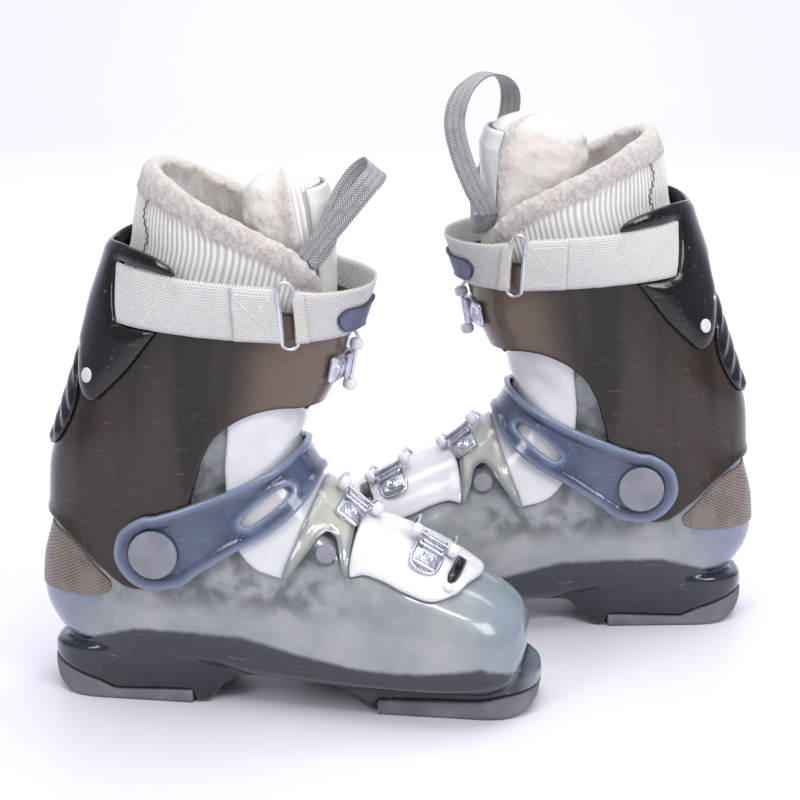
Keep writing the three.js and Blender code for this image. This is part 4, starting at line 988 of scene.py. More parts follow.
def sole_pads(side):
    toe_x = np.concatenate([[205.2], np.linspace(205.9, 290, 60), np.linspace(291, 298.6, 14)])
    heel_x = np.concatenate([np.linspace(1.2, 12, 16), np.linspace(13, 91, 60), [91.8]])
    toe_low = ([205, 276, 284, 294, 299, 300], [0, 0, 0.8, 4, 10, 14])
    toe_top = ([204.8, 266, 281, 300], [8.9, 10.9, 13.9, 15.1])
    heel_low = ([0, 1, 6, 14, 22, 92], [18, 13, 6, 1.5, 0, 0])
    heel_top = ([0, 3, 16, 33, 44, 92], [19.1, 19.3, 15.5, 10.9, 6.1, 7.9])
    for name, xs, low, top in (("toe", toe_x, toe_low, toe_top), ("heel", heel_x, heel_low, heel_top)):
        points, faces = sole_block(xs, low, top, 1.5, 0.8)
        groove = smooth(1 - np.abs(points[:, 2] - np.interp(points[:, 0], *top) + 2.6) / 0.8)
        points[:, 1] -= np.sign(points[:, 1]) * groove * 0.7
        build(side, f"{name}_pad", points, faces, "boot", "pad", f"{name}_sole")


def heel_insert(side):
    low = [rear(67)] + keys([(5, 67), (20, 67.5), (34, 69), (45, 72.5)])
    high = keys([(47, 77.5), (36, 90), (26, 99), (16, 105)]) + [rear(109)]
    half = low + high
    loop = half + around(half[1:-1])[::-1]
    points, faces, layers = panel([dense(loop, 1.6)], -1.0, 0.8, 0.8, 2.4)
    build(side, "heel_mesh", points, faces, "boot", "insert", "heel_insert", layers)


# ---------------------------------------------------------------- moulded panels
def lathe(profile, origin, axis, turns=48):
    """Round piece: radius and height pairs about an axis."""
    axis = np.array(axis, float) / np.linalg.norm(axis)
    side = np.cross(axis, (0, 0, 1) if abs(axis[2]) < 0.9 else (1, 0, 0))
    side /= np.linalg.norm(side)
    other = np.cross(axis, side)
    w = np.arange(turns) * 2 * PI / turns
    ring = np.cos(w)[:, None] * side + np.sin(w)[:, None] * other
    rings = [np.array(origin) + ring * max(r, 0.01) + axis * h for r, h in profile]
    return loft(rings)


def dome(radius, height, edge=0.5, dish=0.0):
    """Profile of a rivet head: a flat disc with a rounded rim and a slight dome."""
    out = [(0.01, 0), (radius - edge * 0.3, 0), (radius, edge * 0.5)]
    for a in np.linspace(0, PI / 2, 5):
        out.append((radius - edge * (1 - math.cos(a)), height - edge + edge * math.sin(a)))
    rise = [(radius - edge) * k for k in (0.85, 0.7, 0.5, 0.25, 0.0)]
    out += [(max(r, 0.01), height + (dish if r < radius * 0.8 else 0) + 0.04 * (radius - r)) for r in rise]
    return out


def toe_plate(side):
    edge = keys([(256.5, 80.5), (251, 78.2), (238, 76.5), (223, 81), (210, 86.3), (198, 89.6), (190, 89.2)])
    s_end = edge[-1][0]
    loop = [front(80.2)] + flip(edge)
    loop += [(s_end + 0.05, -edge[-1][1] * 0.96)]
    loop += [(s_end + 0.1, phi) for phi in (-0.8, -0.4, 0.0, 0.38)]
    loop += [(s_end - 0.3, 0.42), (6.0, 0.42), (5.0, 0.42), (4.2, 0.38), (3.7, 0.26)]
    bean = flip(keys([
        (242.4, 97.2), (246.5, 97.4), (250.4, 95.4), (252.4, 91.4), (252.4, 87.6), (251, 84.2), (248.4, 82.6),
        (245.8, 83), (244.9, 85.3), (246.3, 87.6), (247, 90), (246.6, 92.4), (244.8, 94.6),
    ]))
    raised = lambda p, e, s, phi: 0.9 * smooth((e - 1.0) / 6) - 0.9 * np.minimum(phi * phi, 0.8)
    points, faces, layers = panel([dense(loop, 1.3), dense(bean, 0.9)], 1.0, 4.6, 1.3, 2.4, relief=raised)
    build(side, "toe_cover", points, faces, "boot", "white", "toe_plate", layers)
    points, faces, layers = panel([dense(bean, 0.8)], 3.0, 5.0, 1.2, 1.5,
                                  relief=lambda p, e, s, phi: 0.7 * smooth(e / 3))
    build(side, "toe_cover_inlay", points, faces, "boot", "black", layers=layers)
    at = locate(245.6, 80.6)
    knob(side, "toe_cover_rivet", at[0], -at[1], 4.6, 2.8, 1.9, "shield", dish=0.5)


def knob(side, name, s, phi, height, radius, rise, look, body_name="boot", dish=0.0):
    """Round rivet head standing on the surface."""
    s, phi = np.array([s]), np.array([phi])
    origin = over(s, phi, np.array([height]))[0]
    points, faces = lathe(dome(radius, rise, 0.6, dish), origin, normal(s, phi)[0])
    return build(side, name, points, faces, body_name, look, edge=4.0)


TONGUE_DROP = 3.7


def tongue_drop(s, phi):
    return -TONGUE_DROP * smooth((s - 11.9) / 1.3)


def shell_tongue(side):
    edge = keys([
        (130, 222), (121, 200), (118.5, 185), (118, 165), (117, 145), (118, 126), (123, 106), (134, 93.5),
        (145, 89.3), (153, 88.6), (159, 95), (165, 106), (172, 113),
    ])
    half = [front(226)] + edge + [front(124)]
    loop = half + flip(half[1:-1])[::-1]
    points, faces, layers = panel([dense(loop, 1.5)], 1.0, 3.2, 1.0, 3.2, lift=tongue_drop,
                                  relief=lambda p, e, s, phi: 0.5 * smooth((e - 2) / 4))
    obj = build(side, "white_tongue", points, faces, None, "white", "shell_tongue",
                layers)
    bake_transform(obj)


def instep_flap(side):
    arch = keys([
        (187.6, 88.6), (184.5, 94), (181.8, 101), (179, 107.5), (174, 110.8), (169.5, 108.6),
        (166, 103.6), (160, 95.5), (155, 89.3), (151.3, 88.2),
    ])
    back, ahead = front(132.5, 0.6), front(116.5, 0.6)
    first, last = arch[0], arch[-1]
    mix = lambda a, b, f: (a[0] + (b[0] - a[0]) * f, a[1] + (b[1] - a[1]) * f)
    near_first, near_last = (first[0], -first[1]), (last[0], -last[1])
    loop = flip(arch)
    loop += [mix(near_last, back, f) for f in (0.2, 0.42, 0.64, 0.84, 0.97)]
    loop += [mix(back, ahead, 0.12), mix(back, ahead, 0.88)]
    loop += [mix(ahead, near_first, f) for f in (0.03, 0.16, 0.36, 0.58, 0.8)]
    facet = lambda p, e, s, phi: -1.3 + 1.3 * smooth((e - 0.4) / 4.6)
    points, faces, layers = panel([dense(loop, 1.3)], 4.4, 7.0, 1.0, 2.4, (0.4, 1.0, 2.0, 3.2, 4.6),
                                  relief=facet)
    build(side, "instep_band", points, faces, "boot", "flap", "instep_flap", layers)
    s, phi = locate(175.2, 101.0)
    knob(side, "arch_rivet", s, -phi, 1.2, 6.1, 3.4, "pivot")
    s, phi = locate(180.5, 114.5)
    knob(side, "band_rivet", s, -phi, 6.6, 3.0, 1.5, "flap", dish=-0.5)


YOKE_HIGH = [
    (143, 155.5), (134, 149), (120, 141.5), (103, 134.5), (84, 127), (68, 123), (57, 115), (52.3, 103),
]
YOKE_LOW = [
    (160, 129), (153, 121), (142, 113), (122, 102.5), (101, 89), (84, 79.8), (68, 79.6), (56, 89),
]


def instep_yoke(side):
    half = [front(160)] + keys(YOKE_HIGH) + keys(YOKE_LOW[::-1]) + [front(135)]
    loop = half + flip(half[1:-1])[::-1]
    slot = keys([(126.5, 122), (128, 118.8), (131.5, 118.6), (148.5, 131.2), (150.3, 134.8), (147.5, 137.2)])
    slot = dense(slot, 1.0)
    other = slot * (1, -1)

    def rims(p, e, s, phi):
        wide = np.interp(p[:, 0], [60, 110, 165], [7.5, 6.5, 5.5])
        return 0.2 + 1.3 * smooth((wide + 1.2 - e) / 1.6) - 0.25 * smooth((1.6 - e) / 1.6)

    points, faces, layers = panel([dense(loop, 1.4), slot, other], 6.0, 8.2, 1.2, 2.6,
                                  (0.4, 1.0, 2.0, 3.2, 4.6, 5.8, 6.8, 7.8, 8.8), relief=rims)
    build(side, "yoke", points, faces, "boot", "blue", "instep_yoke", layers)


def pivots(side):
    s, phi = locate(*PIVOT)
    wall = float(over(np.array([s]), np.array([phi]), np.array([0.0]))[0, 1])
    profile = [(0.01, -12), (4.6, -12), (4.6, 0)] + dome(14.5, 3.2, 1.0)[1:]
    for name, way in (("inner", -1), ("outer", 1)):
        origin = (PIVOT[0], way * (wall + 9.6), PIVOT[1])
        points, faces = lathe(profile, origin, (0, way, 0), 64)
        build(side, f"pivot_cap_{name}", points, faces, "boot", "pivot", f"pivot_{name}",
              edge=4.0)


# ---------------------------------------------------------------- cuff
# Lower and upper edge of the cuff, from its front round the catch side to its back.
CUFF_LOW = [
    (157, 190), (147, 189.6), (133, 186), (122, 180.5), (112, 172), (105, 160), (99.5, 142), (97, 120),
    (93, 96), (82, 82), (68, 77), (56, 78.5), (44, 87.5), (31, 98.5), (21, 105.5), (11, 110.5),
]
CUFF_HIGH = [(175, 247), (150, 248), (129, 249), (110, 250), (93, 251), (77, 251), (62, 251), (49, 250)]
LAP = 0.34


def cuff(side):
    low = [front(188)] + keys(CUFF_LOW)
    high = [front(247)] + keys(CUFF_HIGH)
    s_low, s_high = low[0][0], high[0][0]

    def whole(row, s, at_back):
        """Edge of the cuff all the way round, past its own start by the overlap at both ends."""
        return [(s, -LAP)] + row + [rear(at_back)] + around(row[1:])[::-1] + [(s, 2 * PI), (s, 2 * PI + LAP)]

    def upright(at):
        return [(s_low + (s_high - s_low) * f, at) for f in (0.03, 0.3, 0.7, 0.97)]

    loop = whole(low, s_low, 113) + upright(2 * PI + LAP)
    loop += whole(high, s_high, 249)[::-1] + upright(-LAP)[::-1]
    step_up = lambda s, phi: 4.0 * smooth((phi - (2 * PI - 1.0)) / 0.45)
    lip = lambda p, e, s, phi: 0.5 * smooth((4.4 - e) / 1.4) * smooth((165 - p[:, 2]) / 20)
    points, faces, layers = panel([dense(loop, 1.6)], 1.0, 4.0, 1.2, 3.4, (0.4, 1.0, 2.0, 3.2, 4.6),
                                  relief=lip, lift=step_up)
    build(side, "cuff_shell", points, faces, "upper", "cuff", "cuff", layers)
    s, phi = locate(172.6, 211.6)
    turns = np.linspace(0, 2 * PI, 20, endpoint=False)
    oval = [(s + 0.42 * math.cos(t), -phi + 0.17 * math.sin(t)) for t in turns]
    sunk = lambda p, e, s, phi: -0.5 * smooth((e - 1.2) / 0.8)
    points, faces, layers = panel([dense(oval, 1.0)], 7.2, 8.6, 0.8, 1.6, relief=sunk)
    build(side, "cuff_boss", points, faces, "upper", "cuff", layers=layers)
    knob(side, "cuff_bolt", s + 0.05, -phi, 8.0, 2.6, 1.0, "steel", "upper", -0.7)


COLLAR_EDGE = [
    (37.5, 236), (34, 222), (33.2, 208), (34.5, 196), (38, 190.3), (43, 189.6), (50, 196), (64, 211),
    (74, 224), (80, 232), (82.5, 235.2), (78, 236.2), (66, 236.4), (60.5, 238.5), (59, 245), (59, 262),
    (61.5, 270.3), (70, 270.6), (82, 269.6), (91, 268.3), (95.5, 268.6), (94.5, 272), (88, 276.5), (77, 280),
    (66, 282), (57, 281.5),
]
SPINE_EDGE = [(17, 160), (25, 173), (30, 188), (31, 205), (32, 222), (35.6, 236)]


def rear_collar(side):
    half = [rear(240)] + keys(COLLAR_EDGE) + [rear(278.5)]
    loop = half + around(half[1:-1])[::-1]
    puffy = lambda p, e, s, phi: 1.5 * smooth((e - 0.5) / 5.5)
    points, faces, layers = panel([dense(loop, 1.5)], 5.2, 8.0, 1.5, 2.6, (0.45, 1.1, 2.2, 3.6), relief=puffy)
    build(side, "collar", points, faces, "upper", "black", "rear_collar", layers)
    half = [rear(152)] + keys(SPINE_EDGE) + [rear(242)]
    loop = half + around(half[1:-1])[::-1]

    def chevrons(p, e, s, phi):
        t = (p[:, 2] + np.abs(phi - PI) * 30) / 12.5
        saw = np.abs((t % 1.0) - 0.5) * 2
        return 1.9 * smooth(saw * 1.3) * smooth(e / 4)

    points, faces, layers = panel([dense(loop, 1.5)], 4.5, 6.0, 0.9, 1.5, relief=chevrons)
    build(side, "spine", points, faces, "upper", "black", layers=layers)
    for number, way in enumerate((-1, 1)):
        s, phi = locate(42.2, 203.6)
        knob(side, f"collar_rivet_{number}", s, way * phi, 9.2, 4.4, 1.3, "knob", "upper")
        s, phi = locate(36.5, 218)
        knob(side, f"collar_stud_{number}", s, way * phi, 8.6, 1.6, 1.1, "hem", "upper")


# ---------------------------------------------------------------- straps
STRAP_HIGH = [
    (170, 262), (152, 264.5), (138, 265.5), (124, 266.3), (110, 267), (96, 267.8), (80, 268.8), (66, 270.2),
    (60.5, 270.6),
]
STRAP_LOW = [
    (176, 233), (160, 233), (145, 233), (130, 233.6), (115, 234.4), (98, 235.6), (80, 236.6), (66, 237.4),
    (60.5, 238),
]


def strap_edges():
    sides = []
    for z, row in ((233, STRAP_LOW), (262, STRAP_HIGH)):
        half = keys(row)
        full = flip(half)[::-1] + [front(z)] + half
        sides.append(dense(full, 1.0, closed=False))
    return sides


def strap_grid(x_from, x_to, height, thick, rows=14, shrink=0.0, wave=0.4, seed=1):
    """Flat webbing along the strap's route, between two places given as shares of its length."""
    low, high = strap_edges()
    n = int((x_to[0] - x_from[0]) * 330)
    t, t_high = np.linspace(x_from[0], x_to[0], n), np.linspace(x_from[1], x_to[1], n)
    pick = lambda row, k, at: np.interp(at, np.linspace(0, 1, len(row)), row[:, k])
    ls, lp, hs, hp = pick(low, 0, t), pick(low, 1, t), pick(high, 0, t_high), pick(high, 1, t_high)
    v = np.linspace(0, 1, rows)
    soft = np.concatenate([[0.0], v[1:-1], [1.0]])
    w = shrink + (1 - 2 * shrink) * soft
    s = ls[:, None] + (hs - ls)[:, None] * w
    phi = lp[:, None] + (hp - lp)[:, None] * w
    f = smooth((1.25 - np.abs(phi)) / 0.45)
    base = 6.2 + 3.9 * f + height
    mid = body(s, phi)
    base = base + wave * (0.5 + 0.5 * hash_noise(mid, 24, seed))
    ends = np.minimum((t - x_from[0]), (x_to[0] - t)) * 330
    q = np.sqrt(np.clip(1 - (1 - np.minimum(ends / 1.6, 1)) ** 2, 0.0, 1))[:, None]
    e = np.minimum(soft, 1 - soft) * 30
    q = np.minimum(q, np.sqrt(np.clip(1 - (1 - np.minimum(e / 1.0, 1)) ** 2, 0.02, 1))[None])
    centre = base + thick / 2
    outer = over(s, phi, centre + thick / 2 * q)
    inner = over(s, phi, centre - thick / 2 * q)
    rings = [np.concatenate([outer[i], inner[i][::-1]]) for i in range(n)]
    points, faces = loft(rings)
    arc = np.concatenate([[0], np.cumsum(np.linalg.norm(np.diff(mid[:, rows // 2], axis=0), axis=1))])
    flat = []
    for i in range(n):
        for across in (w, w[::-1]):
            flat.extend((arc[i], across[k] * 30, 0.0) for k in range(rows))
    flat.extend([(0, 0, 0), (arc[-1], 0, 0)])
    return points, faces, np.array(flat), (s, phi, centre + thick / 2, t)


def stitches(side, name, grid, lines, look, pitch=3.0, length=2.0, radius=0.28, lift=0.1):
    """Rows of short thread stitches over a strap: lines are (share, v) ends on its grid."""
    s, phi, top, t = grid
    rows = s.shape[1]
    parts = []
    for (t0, v0), (t1, v1) in lines:
        at = lambda f, grid_: np.interp(t0 + (t1 - t0) * f, t, [
            np.interp(v0 + (v1 - v0) * f, np.linspace(0, 1, rows), row) for row in grid_])
        p = lambda f: over(np.array([at(f, s)]), np.array([at(f, phi)]), np.array([at(f, top) + lift]))[0]
        a, b = p(0.0), p(1.0)
        count = max(int(np.linalg.norm(b - a) / pitch), 1)
        for k in range(count):
            f = (k + 0.2) / count
            g = f + length / pitch / count
            parts.append(tube([p(f), p((f + g) / 2), p(g)], radius, 5))
    points, faces = joined(parts)
    return build(side, name, points, faces, "upper", look, edge=4.0)


def strap_place(x):
    """Shares of the strap's lower and upper edge at a forward place x on the catch side."""
    out = []
    for row in strap_edges():
        p = body(row[:, 0], row[:, 1])
        near = len(p) // 2 - 12
        out.append(float(np.interp(x, p[:near, 0], np.linspace(0, 1, len(p))[:near])))
    return out


def power_strap(side):
    ring_back, ring_front = strap_place(150.3), strap_place(155.6)
    fold_start = strap_place(126)
    points, faces, flat, _ = strap_grid((0.0, 0.0), ring_back, 0.0, 1.8, seed=3)
    build(side, "strap_back", points, faces, "upper", "strap", "power_strap",
          {"flat": flat})
    points, faces, flat, _ = strap_grid(ring_front, (1.0, 1.0), 0.0, 1.8, seed=4)
    build(side, "strap_front", points, faces, "upper", "strap", layers={"flat": flat})
    points, faces, flat, grid = strap_grid(fold_start, ring_back, 2.0, 1.7, shrink=0.012, seed=3)
    build(side, "strap_fold", points, faces, "upper", "strap", layers={"flat": flat})
    a, b = fold_start[0] + 0.006, strap_place(145)[0]
    box = [((a, 0.12), (a, 0.88)), ((b, 0.12), (b, 0.88)), ((a, 0.12), (b, 0.12)), ((a, 0.88), (b, 0.88)),
           ((a, 0.12), (b, 0.88)), ((a, 0.88), (b, 0.12))]
    stitches(side, "strap_box_stitch", grid, box, "thread")
    wide = (ring_front, strap_place(161))
    points, faces, flat, grid = strap_grid(wide[0], wide[1], 2.0, 1.6, shrink=0.012, seed=5)
    build(side, "strap_turn", points, faces, "upper", "hem", layers={"flat": flat})
    # Steel ring: two upright bars joined by bowed ends above and below the strap.
    path = []
    rise = [(149.2, 234), (149.2, 250), (149.2, 264.5), (150.6, 267.6), (153, 268.6), (155.4, 267.6)]
    fall = [(156.8, 264.5), (156.8, 250), (156.8, 234), (155.4, 230.6), (153, 229.6), (150.6, 230.6)]
    for x, z in rise + fall:
        s, phi = locate(x, z)
        path.append(over(np.array([s]), np.array([-phi]), np.array([11.4]))[0])
    points, faces = tube(spline(path, 90, True), 1.0, 12, wrap=True)
    build(side, "strap_buckle_ring", points, faces, "upper", "steel", "strap_ring")
    loop = flip(keys([(182, 251), (177, 250.4), (174, 247), (173.4, 242), (175, 237), (180, 235.2)]))
    loop += [front(234.6, -0.2), front(234.6, 0.2), front(237, 0.33), front(243, 0.36), front(249, 0.33)]
    loop += [front(251.4, 0.2), front(251.4, -0.2)]
    rim = lambda p, e, s, phi: 0.5 * smooth((1.8 - e) / 0.8)
    points, faces, layers = panel([dense(loop, 1.1)], 12.0, 14.0, 0.9, 2.0, relief=rim)
    build(side, "strap_tab", points, faces, "upper", "tab", layers=layers)


def ribbon(path, sides, width, thick, count=190):
    """Closed flat tape along a path whose width direction is given at each route point."""
    both = spline(np.column_stack([np.array(path, float), np.array(sides, float) * 0.01]), count, True)
    p, w = both[:, :3], both[:, 3:]
    t = np.roll(p, -1, 0) - np.roll(p, 1, 0)
    t /= np.linalg.norm(t, axis=1, keepdims=True)
    w = w - t * np.sum(w * t, 1, keepdims=True)
    w /= np.linalg.norm(w, axis=1, keepdims=True)
    n = np.cross(w, t)
    across = np.array([-1, -0.97, -0.5, 0, 0.5, 0.97, 1])
    height = np.array([0.25, 0.85, 1, 1, 1, 0.85, 0.25])
    u = np.concatenate([across, across[::-1]])
    h = np.concatenate([height, -height[::-1]])
    rings = [p[i] + w[i] * (u * width / 2)[:, None] + n[i] * (h * thick / 2)[:, None] for i in range(count)]
    points, faces = loft(rings, wrap=True)
    arc = np.concatenate([[0], np.cumsum(np.linalg.norm(np.diff(p, axis=0), axis=1))])
    flat = [(arc[i], a * width / 2 + 20, 0) for i in range(count) for a in u]
    return points, faces, np.array(flat)


# Route of each pull loop, with the direction of the tape's width at every point.
LOOP_ROUTE = {
    "left": [
        (162.5, -31, 272, -0.78, 0, 0.62), (172, -30, 285, -0.78, 0, 0.62), (185, -29.5, 301, -0.78, 0, 0.62),
        (197, -27, 316, -0.78, 0, 0.62), (203, -19, 324, -0.78, 0, 0.62), (198, -9, 326, -0.78, 0, 0.62),
        (189, -5, 319, -0.78, 0, 0.62), (182, -10, 308, -0.78, 0, 0.62), (177.5, -18, 295, -0.78, 0, 0.62),
        (172, -29, 281, -0.78, 0, 0.62),
    ],
    "right": [
        (174, -27, 275, -0.9, 0, 0.3), (183, -30, 293, -0.95, 0, 0.3), (191, -29, 313, -0.97, 0, 0.2),
        (195, -27, 333, -1, 0, 0), (190, -22, 350, -0.9, -0.5, 0), (178, -10, 359, -0.5, -0.85, 0),
        (165, 8, 357, -0.5, -0.85, 0), (157, 24, 347, -0.8, -0.5, 0), (156, 34, 331, -1, 0, 0),
        (162, 36, 311, -1, 0, 0), (172, 32, 290, -0.7, 0.3, -0.6), (180.5, 18, 274, -0.2, 0.2, -0.95),
        (181.5, -6, 267, 0.1, 0, -1), (179, -20, 268, -0.5, 0, -0.85),
    ],
}


def pull_loop(side):
    route = LOOP_ROUTE[side]
    points, faces, flat = ribbon([q[:3] for q in route], [q[3:] for q in route], 13, 1.5)
    build(side, "pull_tape", points, faces, "upper", "loop", "pull_loop", {"flat": flat})


# ---------------------------------------------------------------- liner
LINER_TOP = (
    [0, 0.45, 0.62, 0.85, 1.15, 1.6, 2.2, 2.7, PI],
    [14.6, 15.2, 18.2, 19.3, 20.2, 21.2, 22.3, 22.7, 22.8],
)


ROLL_START = 13.2  # rib from which the liner's rows follow its lip


def liner(side):
    """Soft boot: corded cloth outside, fleece inside and rolled over its lip."""
    count = 460
    phis = np.linspace(0, 2 * PI, count, endpoint=False)
    fold = np.abs(np.where(phis > PI, phis - 2 * PI, phis))
    top = np.interp(fold, *LINER_TOP)
    for _ in range(14):
        top = (np.roll(top, 1) + 2 * top + np.roll(top, -1)) / 4
    out_depth, in_depth, fat = 5.4, 11.4, 14.6
    low = [2.2, 3.2, 4.5, 6, 7.5, 9, 10.5, 12, ROLL_START]
    rows, kinds = [], []
    for s in low:
        rows.append(inside(np.full(count, s), phis, out_depth))
        kinds.append(0.0)
    for v in np.concatenate([np.linspace(0.06, 0.4, 5), np.linspace(0.44, 0.985, 30)]):
        s = ROLL_START + (top - ROLL_START) * v
        rows.append(inside(s, phis, out_depth))
        kinds.append(0.0)
    lip_out, lip_in = inside(top, phis, out_depth), inside(top, phis, fat)
    up = body(top + 0.4, phis) - body(top - 0.4, phis)
    up /= np.linalg.norm(up, axis=1, keepdims=True)
    mid, reach = (lip_out + lip_in) / 2, (lip_out - lip_in) / 2
    for a in np.linspace(0.0, PI, 11):
        rows.append(mid + reach * math.cos(a) + up * 5.2 * math.sin(a))
        kinds.append(1.0)
    for v in np.concatenate([np.linspace(0.97, 0.5, 16), np.linspace(0.44, 0.06, 5)]):
        depth = in_depth + (fat - in_depth) * float(smooth((v - 0.35) / 0.45))
        rows.append(inside(ROLL_START + (top - ROLL_START) * v, phis, depth))
        kinds.append(1.0)
    for s in low[::-1][:-1]:
        rows.append(inside(np.full(count, s), phis, in_depth))
        kinds.append(1.0)
    points, faces = loft(rows)
    grid = np.array(rows)
    below = np.linalg.norm(grid - lip_out[None], axis=2)
    outer_rows = np.array(kinds) == 0
    near_lip = np.where(outer_rows[:, None], smooth((10.5 - below) / 1.4), 1.0)
    soft = np.concatenate([near_lip.ravel(), [0, 1]])
    pad = np.concatenate([below.ravel(), [200, 200]])
    cord_row = np.cos(2 * PI * np.arange(count) / (count / 115.0))
    cord = np.concatenate([np.tile(cord_row, len(rows)), [0, 0]])
    flow = np.zeros_like(points)
    n = len(rows)
    outward_dir = (inside(np.full(count, 15.0), phis, 0) - inside(np.full(count, 15.0), phis, 4.0))
    outward_dir /= np.linalg.norm(outward_dir, axis=1, keepdims=True)
    flow[:n * count] = np.tile(outward_dir, (n, 1))
    on_lip = np.repeat(np.array([1.0 if 44 <= k < 55 else 0.0 for k in range(n)]), count)
    flow[:n * count] += np.tile(up, (n, 1)) * on_lip[:, None]
    face_in = np.repeat(np.array([-1.0 if k >= 52 else 1.0 for k in range(n)]), count)
    bulge = soft * (1.5 + 1.0 * hash_noise(points, 6, 11) + 1.1 * hash_noise(points, 2.6, 12))
    bulge *= smooth((60 - pad) / 30)
    sag = 1.4 * hash_noise(points, 26, 13) * smooth((70 - pad) / 30)
    height = bulge + sag + (1 - soft) * 0.42 * cord * smooth((90 - pad) / 10)
    shift = np.zeros(len(points))
    shift[:n * count] = height[:n * count] * face_in
    points = points + flow * shift[:, None]
    wear = np.concatenate([np.where(np.repeat(outer_rows, count), 1.0, 0.75), [0, 0]])
    worn = np.clip(soft * smooth((16 - pad) / 9) * wear, 0, 1)
    layers = {"fleece": soft, "worn": worn, "cord": cord}
    obj = build(side, "liner_boot", points, faces, None, "fleece", "liner", layers)
    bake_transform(obj)
    dark = []
    for way in (-1, 1):
        line = [(21.9 - 0.62 * k, way * (2.42 + 0.05 * math.sin(k * 2.2))) for k in np.linspace(0, 5, 26)]
        for k in range(len(line) - 1):
            (s0, f0), (s1, f1) = line[k], line[k + 1]
            zig = 0.018 * (1 if k % 2 else -1)
            a = inside(np.array([s0]), np.array([f0 - zig]), np.array([4.3]))[0]
            b = inside(np.array([s1]), np.array([f1 + zig]), np.array([4.3]))[0]
            dark.append(tube([a, (a + b) / 2, b], 0.32, 5))
    points, faces = joined(dark)
    build(side, "liner_stitch", points, faces, "upper", "dark_thread", edge=4.0)


# Sections up each padded tongue: their centre's x and z, and their half sizes forward and across.
TONGUE_ROUTE = {
    "left": [
        (160, 238, 12, 19), (158, 255, 15, 22), (154, 271, 19, 24.5), (150, 287, 22.5, 26),
        (147, 300, 24, 26), (146, 308, 22.5, 24.5),
    ],
    "right": [
        (160, 238, 12, 19), (158, 256, 15, 22), (153.5, 274, 20, 25), (147.5, 292, 28, 27),
        (142.5, 308, 33, 28), (141, 320, 31, 26.5),
    ],
}


def tongue_rings(side, grow, count, share=1.0, rows=44):
    """Sections across the padded tongue, from inside the leg up to its rounded top."""
    line = spline([q[:4] for q in TONGUE_ROUTE[side]], rows)
    along = np.gradient(line[:, :2], axis=0)
    along /= np.linalg.norm(along, axis=1, keepdims=True)
    rings = []
    steps = [(i, 1.0, 0.0) for i in range(rows)]
    steps += [(rows - 1, math.cos(a), math.sin(a)) for a in np.linspace(0.12, 1.5, 10)]
    for i, scale, rise in steps:
        w = np.arange(count) * 2 * PI / count if share == 1.0 else np.linspace(-share * PI, share * PI, count)
        c, d = np.cos(w), np.sin(w)
        r = (np.abs(c) ** 2.6 + np.abs(d) ** 2.6) ** (-1 / 2.6)
        x, z, half_x, half_y = line[i]
        ex = (half_x * scale + grow) * c * r
        ey = (half_y * scale + grow) * d * r
        tx, tz = along[i]
        top = 14.5 * rise
        rings.append(np.stack([x + ex * tz + top * tx, ey - 1.0, z - ex * tx + top * tz], 1))
    return rings


def liner_tongue(side):
    count = 120
    rings = tongue_rings(side, 0.0, count)
    points, faces = loft(rings)
    n = len(rings)
    w = np.tile(np.arange(count) * 2 * PI / count, n)
    facing = np.concatenate([np.cos(w), [0, 0]])
    middle = np.concatenate([np.repeat([r.mean(0) for r in rings], count, axis=0), points[-2:] - (0, 0, 5)])
    out = points - middle
    out /= np.maximum(np.linalg.norm(out, axis=1, keepdims=True), 1e-6)
    limit = 0.42 if side == "left" else 0.74
    soft = smooth((limit - facing) / 0.08)
    edge_zone = np.exp(-(((facing - limit + 0.14) / 0.15) ** 2))
    cord = np.cos((np.concatenate([w, [0, 0]])) * 46)
    lump = 1.8 * hash_noise(points, 30, 21) + 1.1 * soft * hash_noise(points, 7, 22)
    lump += 0.9 * soft * hash_noise(points, 2.8, 23)
    roll = 2.2 * edge_zone
    p = points + out * (lump + roll + (1 - soft) * 0.35 * cord)[:, None]
    layers = {"fleece": soft, "worn": edge_zone * soft * 0.9, "cord": cord}
    obj = build(side, "tongue_pad", p, faces, "upper", "fleece", "liner_tongue", layers)
    outer = tongue_rings(side, 3.4, 40, 0.27)[:46]
    inner = tongue_rings(side, 1.8, 40, 0.27)[:46]
    rings = [np.concatenate([a, b[::-1]]) for a, b in zip(outer, inner)]
    points, faces = loft(rings)
    e = []
    for _ in rings:
        e.extend(list(np.minimum(np.arange(40), 39 - np.arange(40)) * 1.6) * 2)
    e.extend([0, 0])
    build(side, "tongue_shield", points, faces, "upper", "shield",
          layers={"edge": np.minimum(np.array(e, float), 6)})


# ---------------------------------------------------------------- buckles
# Each buckle lies in a plane through q and across the direction down. Along the plane's cut with the
# boot, catch and hinge are the places of the catch and of the lever's pin, and reach is the lever's
# length. seat, base and wire are the heights of the catch, the hinge base and the bail.
BUCKLES = {
    "toe": dict(q=(232, 96.2), down=(0.87, -0.49), catch=-17.5, hinge=45, reach=29,
                seat=5.2, base=1.0, wire=8.4, body="boot"),
    "instep": dict(q=(183.5, 118), down=(0.78, -0.63), catch=-11, hinge=50, reach=29,
                   seat=7.0, base=5.4, wire=11.4, body="boot"),
    "cuff": dict(q=(168.4, 211), down=(-0.17, -0.985), catch=-9, hinge=42, reach=38,
                 seat=9.0, base=6.0, wire=13.0, body="upper"),
}
BAIL_HALF = 12.8
WIRE = 1.3
SLEEVE = [(0.01, 0), (2.9, 0.05), (3.8, 0.6), (4.2, 1.6), (4.2, 4.0), (3.7, 5.4), (2.4, 6.3), (0.01, 6.5)]
